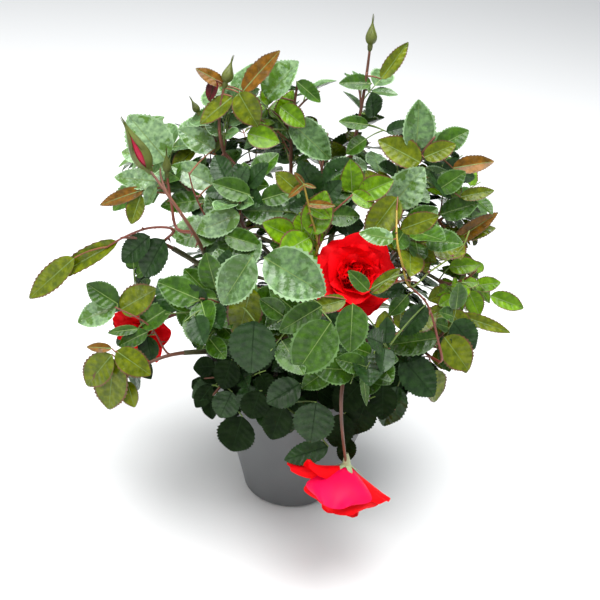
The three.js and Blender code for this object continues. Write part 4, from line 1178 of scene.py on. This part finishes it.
def calyx(base, axis, stem_way, sepals, lean, random):
    """The green cup that leads the stem into a bloom, with pointed sepals that lean out over the petals."""
    turn = frame_along(axis)
    profile = [(1.4, -17), (2.0, -14.5), (3.0, -11), (3.9, -7), (4.4, -3), (5.2, 0), (4.4, 2)]
    turned("calyxes", profile, 20, (frame_along(CALYX_LEAN * axis + (1 - CALYX_LEAN) * stem_way), base))
    step = np.linspace(0, 1, 9)
    spread = np.linspace(-1, 1, 5)
    for index in range(SEPALS):
        bearing = math.pi / 2 - 0.5 + index * 2 * math.pi / SEPALS + 0.3 * random.random()
        angle = lean[0] + (lean[1] - lean[0]) * step
        stride = sepals * (0.85 + 0.3 * random.random()) / (len(step) - 1)
        out = SEPAL_START_RADIUS + running_sum(np.sin(angle[:-1])) * stride
        high = SEPAL_START_HEIGHT + running_sum(np.cos(angle[:-1])) * stride
        half = SEPAL_HALF_WIDTH * (1 - step) ** 0.75 + 0.15
        aside = np.outer(half, spread)
        keel = -0.22 * np.outer(half, spread ** 2)
        radial = out[:, None] + keel * np.cos(angle)[:, None]
        height = high[:, None] - keel * np.sin(angle)[:, None]
        points = swung(radial, aside, height, bearing) @ turn.T + base
        pile("calyxes").add(points, grid_faces(len(step), len(spread)))


def bloom(tip, facing, radius, rings, unevenness, quarters, random):
    """A bloom: rings of petals from the outside in, and a middle folded into quarters."""
    turn = frame_along(facing)
    for count, size, wide, lean, cup, start, back in rings:
        for index in range(count):
            bearing = start + 2 * math.pi * index / count + 0.6 * unevenness * (random.random() - 0.5)
            wobble = unevenness * (random.random() - 0.5)
            own = [value + wobble for value in lean[:2]] + [lean[2] * (0.6 + 0.8 * random.random())]
            length = radius * size * (0.92 + 0.16 * random.random())
            petal(back, tip, turn, bearing, own, length, radius * wide, cup, RUFFLE, 6 * random.random())
    for quarter in range(quarters):
        heading = quarter * 2 * math.pi / quarters + 0.5
        middle = tip + turn @ (np.array([math.cos(heading), math.sin(heading), 0.0]) * QUARTER_PLACE * radius)
        for fold in range(QUARTER_FOLDS):
            bearing = heading + (fold - (QUARTER_FOLDS - 1) / 2) * QUARTER_TURN + 0.5 * random.random()
            length = radius * (0.60 + 0.06 * fold)
            lean = [0.10, 0.30 - 0.12 * fold, 0.4]
            petal("petals", middle, turn, bearing, lean, length, radius * QUARTER_WIDTH, QUARTER_CUP,
                  QUARTER_RUFFLE, 6 * random.random())


def bud(base, axis, radius, length, full, slit, heading, random):
    """A bud: rolled petals in a closed green shell, with a slit on one side and long sepal tips over it."""
    turn = frame_along(axis)
    share = np.linspace(0, 1, 19)
    places = full * np.array(BUD_SHARES)
    body = radius * np.interp(share, places, BUD_SWELL)
    height = share * length
    if slit:
        turned("bud_petals", np.stack([0.86 * body, height], axis=-1)[1:-2], 24, (turn, base))
    foot = [(1.3, -7), (2.4, -5.5), (0.3 * radius + 1, -2), (0.42 * radius, 0.4)]
    turned("bud_greens", foot, 18, (turn, base))
    columns = 29
    gap = slit * np.sin(math.pi * np.clip((share / full - 0.08) / 0.72, 0, 1)) ** 0.8
    around = np.linspace(0, 1, columns)[None, :] * (2 * math.pi - 2 * gap[:, None]) + gap[:, None] + heading
    ribs = 1 + 0.05 * np.cos(SEPALS * (around - heading))
    points = polar(body[:, None] * ribs, around, height[:, None])
    pile("bud_greens").add(points @ turn.T + base, grid_faces(len(share), columns))
    step = np.linspace(0, 1, 9)
    for index in range(SEPALS):
        bearing = heading + (index + 0.5) * 2 * math.pi / SEPALS
        reach = length * (0.45 * full + (1.05 - 0.45 * full - 0.12 * random.random()) * step)
        hug = radius * np.interp(reach / length, places, BUD_SWELL) + 0.35 + 0.1 * radius * step ** 2
        half = radius * 0.34 * (1 - step) ** 0.8 * np.minimum(1, 3 * step) + 0.15
        angle = bearing + np.outer(half / np.maximum(hug, 1.5), np.array([-1.0, 0, 1]))
        points = polar(hug[:, None], angle, reach[:, None])
        pile("bud_greens").add(points @ turn.T + base, grid_faces(len(step), 3))


def set_bud(base, axis, kept_clear, form):
    """A bud, and the line of sight to it that the leaves keep out of."""
    radius, length = form[:2]
    depth, clear = kept_clear
    bud(base, axis, *form, bloom_random)
    sight.add(base + depth * length * unit(np.array(axis)), clear * radius)


bloom_random = random_from(BLOOM_SEED)
for name, (facing, radius, rings, unevenness, quarters, sepals, lean) in BLOOMS.items():
    axis = unit(np.array(facing))
    stem = stems[name]
    tip = stem.at(1)
    bloom(tip, axis, radius, rings, unevenness, quarters, bloom_random)
    calyx(tip, axis, stem.way(1), sepals, lean, bloom_random)
    middle = tip + BLOOM_DEPTH * radius * axis
    bloom_balls.append((middle, radius * BLOOM_CLEARANCE))
    sight.add(middle, radius * BLOOM_CLEARANCE)
for name, axis, *form in BUDS:
    stem = stems[name]
    for along in BUD_STEM_SIGHTS:
        sight.add(stem.at(along), form[0])
    set_bud(stem.at(1), axis or stem.way(1), BUD_SIGHT, form)
for base, axis, *form in SIDE_BUDS:
    set_bud(np.array(base, float), axis, SIDE_BUD_SIGHT, form)

for number, each in enumerate(MASSES):
    set_led_leaves(each, random_from(LED_SEED + number))
for number, each in enumerate(MASSES):
    grow(each, random_from(GROWTH_SEED + number))


# Bark, knuckle, compost and pot

def bark_tube(curve, start_radius, tip_radius, random):
    """A cane with uneven rind, nodes and thorns."""
    count = max(6, math.ceil(curve.length / 4))
    along = np.linspace(0, 1, count)
    swell = 1 + 0.05 * np.sin(along * curve.length / 5.5) + 0.08 * (random.random(count) - 0.5)
    radii = (start_radius + (tip_radius - start_radius) * along) * swell
    tube("canes", curve.run(count), radii, LIMB_SIDES)
    thorn_row(curve, start_radius, tip_radius, random)


def thorn_row(curve, start_radius, tip_radius, random):
    for index in range(1, int(curve.length / THORN_SPACING)):
        along = (index + 0.6 * (random.random() - 0.5)) * THORN_SPACING / curve.length
        base = curve.at(along)
        way = curve.way(along)
        around = random.random() * 2 * math.pi
        first = square_to(UP + np.array([0.2, 0.1, 0]), way)
        out = math.cos(around) * first + math.sin(around) * np.cross(way, first)
        radius = start_radius + (tip_radius - start_radius) * along
        long = THORN_LENGTH * (0.5 + 0.5 * random.random())
        points = [base + 0.6 * radius * out, base + (radius + 0.4 * long) * out - 0.08 * long * way,
                  base + (radius + long) * out - 0.4 * long * way]
        tube("thorns", points, [0.32 * long, 0.16 * long, 0.03 * long], 5)


def shoot(name, radius, rind, points, random):
    """A young shoot with a few thorns, joined at its foot to the nearest line of its mass or limb."""
    line = line_through(points)
    foot = line.at(0)
    carrier = min([stems[name], *limb_lines], key=lambda each: each.nearest(foot)[1])
    base = carrier.at(carrier.nearest(foot)[0])
    if np.linalg.norm(base - foot) > 2 * radius:
        line = line_through([base, *points])
    tip_radius = SHOOT_TAPER * radius
    tapering(rind, line, math.ceil(line.length / 6) + 3, radius, tip_radius, 8)
    thorn_row(line, radius, tip_radius, random)


for number, facts in enumerate(limbs.values()):
    bark_tube(*facts, random_from(BARK_SEED + number))
for number, facts in enumerate(SHOOTS):
    shoot(*facts, random_from(SHOOT_SEED + number))
for name in ("left_bud", "right_bud", "top_left_bud", "main_bloom"):
    thorn_row(stems[name], STEM_RADIUS, STEM_TIP_RADIUS, random_from(STEM_THORN_SEED))


def knuckle():
    """The swollen, gnarled foot of the plant, which the canes spring from."""
    foot = COMPOST_TOP - 1
    heights = [0, 0.12, 0.3, 0.45, 0.6, 0.75, 0.9, 1.0, 1.02]
    radii = [FOOT_FLARE_RADIUS, 22, FOOT_NECK_RADIUS, 21, FOOT_KNUCKLE_RADIUS, 24, FOOT_TOP_RADIUS, 9, 0.5]
    profile = [(radius, foot + height * FOOT_HEIGHT) for radius, height in zip(radii, heights)]

    def gnarled(radius, height, angle):
        lump = 1 + 0.07 * np.sin(3 * angle + 0.2 * height) + 0.05 * np.sin(7 * angle - 0.31 * height)
        return radius * lump, height + 0.6 * np.sin(5 * angle)

    turned("knuckle", profile, 48, None, gnarled)


def compost(random):
    """The uneven top of the compost, with chips of bark lying on it."""
    edge = POT_COLLAR_FOOT_RADIUS - POT_WALL
    rings = 30
    segments = 96
    radius = np.linspace(0.5, edge, rings)[:, None] * np.ones((1, segments))
    angle = np.arange(segments)[None, :] * 2 * math.pi / segments
    x = radius * np.cos(angle)
    y = radius * np.sin(angle)
    height = COMPOST_TOP - 1.5 + 0.8 * np.sin(x / 5) * np.cos(y / 6) + 1.1 * np.sin(x / 11 + y / 9)
    height += 1.4 * (random.random(height.shape) - 0.5)
    height[-1] -= 3
    pile("compost").add(grid_points(x, y, height), grid_faces(rings, segments, True))
    corners = np.array([(a, b, c) for a in (-1, 1) for b in (-1, 1) for c in (-1, 1)])
    sides = [(0, 1, 3, 2), (4, 6, 7, 5), (0, 4, 5, 1), (2, 3, 7, 6), (0, 2, 6, 4), (1, 5, 7, 3)]
    for _ in range(COMPOST_CHIPS):
        distance = edge * math.sqrt(random.random()) * 0.96
        centre = on_circle(distance, random.random() * 2 * math.pi, COMPOST_TOP - 0.5)
        turn = frame_along(random.normal(size=3))
        size = np.array(CHIP_SIZE) * (0.4 + 0.8 * random.random())
        chip = corners * size / 2 * (1 + 0.3 * (random.random((8, 1)) - 0.5))
        pile("compost").add(chip @ turn.T + centre, sides)


def rounded(centre, radius, start, end, count):
    """Points of an arc of a profile, between two angles in degrees."""
    angles = np.radians(np.linspace(start, end, count))
    return [(centre[0] + radius * math.cos(angle), centre[1] + radius * math.sin(angle)) for angle in angles]


def pot():
    """The pot as one turned surface, from the middle of its underside over the lip to the compost."""
    collar_foot = POT_HEIGHT - POT_COLLAR_HEIGHT
    lip_foot = POT_HEIGHT - POT_LIP_HEIGHT
    edge = POT_EDGE_RADIUS
    profile = [(0.5, 1.6), (POT_BODY_FOOT_RADIUS - 16, 1.6), (POT_BODY_FOOT_RADIUS - 13, 0.2),
               (POT_BODY_FOOT_RADIUS - edge, 0)]
    profile += rounded((POT_BODY_FOOT_RADIUS - edge, edge), edge, -78, -10, 8)
    profile += [(POT_BODY_FOOT_RADIUS + (POT_BODY_TOP_RADIUS - POT_BODY_FOOT_RADIUS) * rise,
                 edge + (collar_foot - edge) * rise) for rise in np.linspace(0.02, 0.985, 12)]
    profile += [(POT_BODY_TOP_RADIUS + 0.6, collar_foot - 0.4)]
    profile += rounded((POT_COLLAR_FOOT_RADIUS - 1.5, collar_foot + 1.2), 1.5, -88, 0, 5)
    profile += [(POT_COLLAR_TOP_RADIUS - 0.4, lip_foot - 0.6)]
    profile += rounded((POT_LIP_RADIUS - 1.6, lip_foot + 1.6), 1.6, -85, 0, 5)
    profile += rounded((POT_LIP_RADIUS - 2, POT_HEIGHT - 2), 2, 0, 90, 6)
    profile += rounded((POT_LIP_RADIUS - POT_WALL + 0.6, POT_HEIGHT - 0.6), 0.6, 90, 180, 3)
    profile += [(POT_COLLAR_TOP_RADIUS - POT_WALL, lip_foot),
                (POT_COLLAR_FOOT_RADIUS - POT_WALL, COMPOST_TOP - 8)]
    turned("pot_shell", profile, POT_SEGMENTS)


knuckle()
compost(random_from(COMPOST_SEED))
pot()


# Rain

def drops(random):
    """Flattened drops at random places of the higher leaves that face up."""
    wet = [leaf for leaf in drawn if leaf["centre"][2] > RAIN_FLOOR and leaf["normal"][2] > RAIN_SLOPE]
    inner = np.flatnonzero(np.abs(ACROSS) < 0.9)
    points = np.vstack([leaf["surface"][inner] for leaf in wet])
    normals = np.repeat([leaf["normal"] for leaf in wet], len(inner), axis=0)
    rows = 4
    sides = 8
    angles = np.arange(sides) * 2 * math.pi / sides
    for index in random.integers(len(points), size=DROPS):
        normal = normals[index]
        first = square_to(np.array([0.3, 0.2, 0.9]), normal)
        ring = np.outer(np.cos(angles), first) + np.outer(np.sin(angles), np.cross(normal, first))
        own = DROP_SIZE * (0.45 + 0.75 * random.random() ** 2)
        rings = [points[index] + own * math.cos(turn) * ring + DROP_HEIGHT * own * math.sin(turn) * normal
                 for turn in np.linspace(0, math.pi / 2, rows)]
        pile("drops").add(np.vstack(rings), grid_faces(rows, sides, True))


drops(random_from(RAIN_SEED))


# Materials

class Surface:
    """A material with some values of its shader, and the nodes that vary the others over the surface."""

    def __init__(self, name, values):
        self.material = bpy.data.materials.new(name)
        self.material.use_nodes = True
        self.nodes = self.material.node_tree.nodes
        self.shader = self.nodes["Principled BSDF"]
        self.join(self.shader, values, {})

    def join(self, node, values, sources):
        """A node with its values set and with the outputs of other nodes linked into it."""
        for socket, value in values.items():
            node.inputs[socket].default_value = value
        for socket, source in sources.items():
            self.material.node_tree.links.new(source, node.inputs[socket])
        return node

    def add(self, kind, values, sources):
        return self.join(self.nodes.new(kind), values, sources)

    def place(self):
        """Where a point of the surface lies on the object."""
        return self.nodes.new("ShaderNodeTexCoord").outputs["Object"]

    def noise(self, place, scale, detail, roughness=0.5):
        values = {"Scale": scale, "Detail": detail, "Roughness": roughness}
        return self.add("ShaderNodeTexNoise", values, {"Vector": place}).outputs["Fac"]

    def ramp(self, share, *stops):
        made = self.add("ShaderNodeValToRGB", {}, {"Fac": share})
        for element, (position, colour) in zip(made.color_ramp.elements, stops):
            element.position = position
            element.color = [*colour, 1]
        return made.outputs["Color"]

    def ranged(self, value, limits):
        return self.add("ShaderNodeMapRange", limits, {"Value": value}).outputs["Result"]

    def mixed(self, share, colour, other):
        made = self.nodes.new("ShaderNodeMix")
        made.data_type = "RGBA"
        return self.join(made, {"A": [*colour, 1]}, {"Factor": share, "B": other}).outputs["Result"]

    def bumped(self, height, strength, distance):
        values = {"Strength": strength, "Distance": distance}
        return self.add("ShaderNodeBump", values, {"Height": height}).outputs["Normal"]


def node_material(name, colour, roughness, spread, scale, bump, specular=0.5, bump_scale=None):
    """A surface whose colour and roughness vary in soft patches, with a fine bump."""
    surface = Surface(name, {"Specular IOR Level": specular})
    place = surface.place()
    patches = surface.noise(place, scale, 4)
    dark = [value * (1 - spread) for value in colour]
    light = [min(1, value * (1 + spread)) for value in colour]
    limits = {"To Min": roughness * 0.75, "To Max": min(1, roughness * 1.25)}
    fine = surface.noise(place, bump_scale or scale * 12, 3)
    surface.join(surface.shader, {}, {
        "Base Color": surface.ramp(patches, (0.3, dark), (0.72, light)),
        "Roughness": surface.ranged(patches, limits),
        "Normal": surface.bumped(fine, bump, FINE_DEPTH),
    })
    return surface.material


def leaf_material(name, colour, film, gloss):
    """Leaf skin: mottled green, puckered between its veins, with a broken film of rain whose sheen is painted
    in.
    """
    surface = Surface(name, {"Specular IOR Level": gloss, "Coat Weight": FILM_COAT * film,
                             "Coat Roughness": FILM_ROUGHNESS})
    place = surface.place()
    red, green, blue = colour
    # Painted sheen: the more film, the finer the mottle and the brighter its light patches.
    dark = [(0.68 - 0.08 * film) * value for value in colour]
    bright = 1.25 + 0.1 * film
    light = [(bright + 0.2) * red, bright * green, bright * blue]
    patches = surface.noise(place, MOTTLES + SHEEN_MOTTLES * film, 8)
    mottle = surface.ramp(patches, (0.36, dark), (0.66, light))
    # Painted sheen: where the film lies the leaf keeps its mottle, and where it breaks it turns a darker,
    # drier green.
    sheen_breaks = surface.noise(place, SHEEN_PATCHES, 9, 0.62)
    painted_sheen = surface.ranged(sheen_breaks, {**SHEEN_EDGE, "To Min": max(0, 1 - 1.15 * film)})
    wet = surface.noise(place, WET_PATCHES, 3)
    relief = surface.bumped(surface.noise(place, PUCKERS, 4), 0.45, PUCKER_DEPTH)
    surface.join(surface.shader, {}, {
        "Base Color": surface.mixed(painted_sheen, [0.38 * red, 0.50 * green, 0.05 * blue], mottle),
        "Roughness": surface.ranged(wet, WET_ROUGHNESS),
        "Normal": relief,
        "Coat Normal": relief,
    })
    return surface.material


def clear_material():
    values = {"Base Color": (0.9, 0.95, 0.95, 1), "Roughness": 0.03, "IOR": 1.33, "Transmission Weight": 1}
    return Surface("rain_water", values).material


foliage = [f"foliage_{each['name']}" for each in MASSES]
for colour, (tone, film, gloss, *_) in LEAF_COLOURS.items():
    leaves = piece(f"leaves_{colour}", leaf_material(f"leaves_{colour}", tone, film, gloss))
    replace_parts(leaves, *foliage)
for name, facts in FINISHES.items():
    piece(name, node_material(name, *facts))
piece("drops", clear_material())
canes = piece("canes", node_material("canes", (0.075, 0.07, 0.025), 0.5, 0.5, 45, 0.6))
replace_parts(canes, *limbs)
piece("thorns", node_material("thorns", (0.16, 0.05, 0.03), 0.4, 0.3, 90, 0.2))
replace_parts(piece("knuckle", node_material("knuckle", (0.10, 0.07, 0.045), 0.85, 0.5, 60, 1.0)),
            "crown_stem")
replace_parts(piece("compost", node_material("compost", (0.022, 0.015, 0.010), 0.9, 0.6, 150, 1.0)),
            "compost")
pot_finish = node_material("pot_plastic", (0.106, 0.110, 0.112), 0.42, 0.12, 14, 0.12, bump_scale=900)
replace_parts(piece("pot_shell", pot_finish), "pot")


# The view: floor, light and camera

def add_floor():
    half = FLOOR_SIZE / 2
    corners = [(-half, -half, 0), (half, -half, 0), (half, half, 0), (-half, half, 0)]
    matt = Surface("floor", {"Base Color": (0.86, 0.86, 0.85, 1), "Roughness": 0.9})
    floor = mesh_object("floor", corners, [(0, 1, 2, 3)], matt.material)
    floor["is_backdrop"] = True


def add_light(name, place, size, power, colour):
    data = bpy.data.lights.new(name, "AREA")
    data.shape = "DISK"
    data.size = size
    data.energy = power
    data.color = colour
    turn = frame_along(np.array(place) - np.array(LIGHT_TARGET))
    in_scene(name, data).matrix_world = Matrix.Translation(place) @ Matrix(turn.tolist()).to_4x4()


def add_camera():
    data = bpy.data.cameras.new("camera")
    data.sensor_width = SENSOR_MM
    data.lens = LENS_PIXELS / PICTURE_PIXELS * SENSOR_MM
    camera = in_scene("camera", data)
    tilt = Matrix.Rotation(math.radians(90 - CAMERA_PITCH), 4, "X")
    roll = Matrix.Rotation(math.radians(CAMERA_ROLL), 4, "Z")
    camera.matrix_world = Matrix.Translation(CAMERA_PLACE) @ tilt @ roll
    bpy.context.scene.camera = camera


def add_sky():
    world = bpy.data.worlds.new("soft_sky")
    world.use_nodes = True
    sky = world.node_tree.nodes["Background"]
    sky.inputs["Color"].default_value = (0.93, 0.96, 1.0, 1)
    sky.inputs["Strength"].default_value = SKY_STRENGTH
    bpy.context.scene.world = world


add_floor()
add_light("overhead", (0.0, -0.2, 2.4), 2.6, 112, (0.98, 0.99, 1.0))
add_light("front", (-1.9, -1.6, 1.4), 1.4, 15, (1.0, 0.98, 0.95))
add_camera()
add_sky()

bpy.context.scene.view_settings.view_transform = "Standard"
boxes = [[list(corner) for corner in box] for box in (cad_box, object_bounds())]
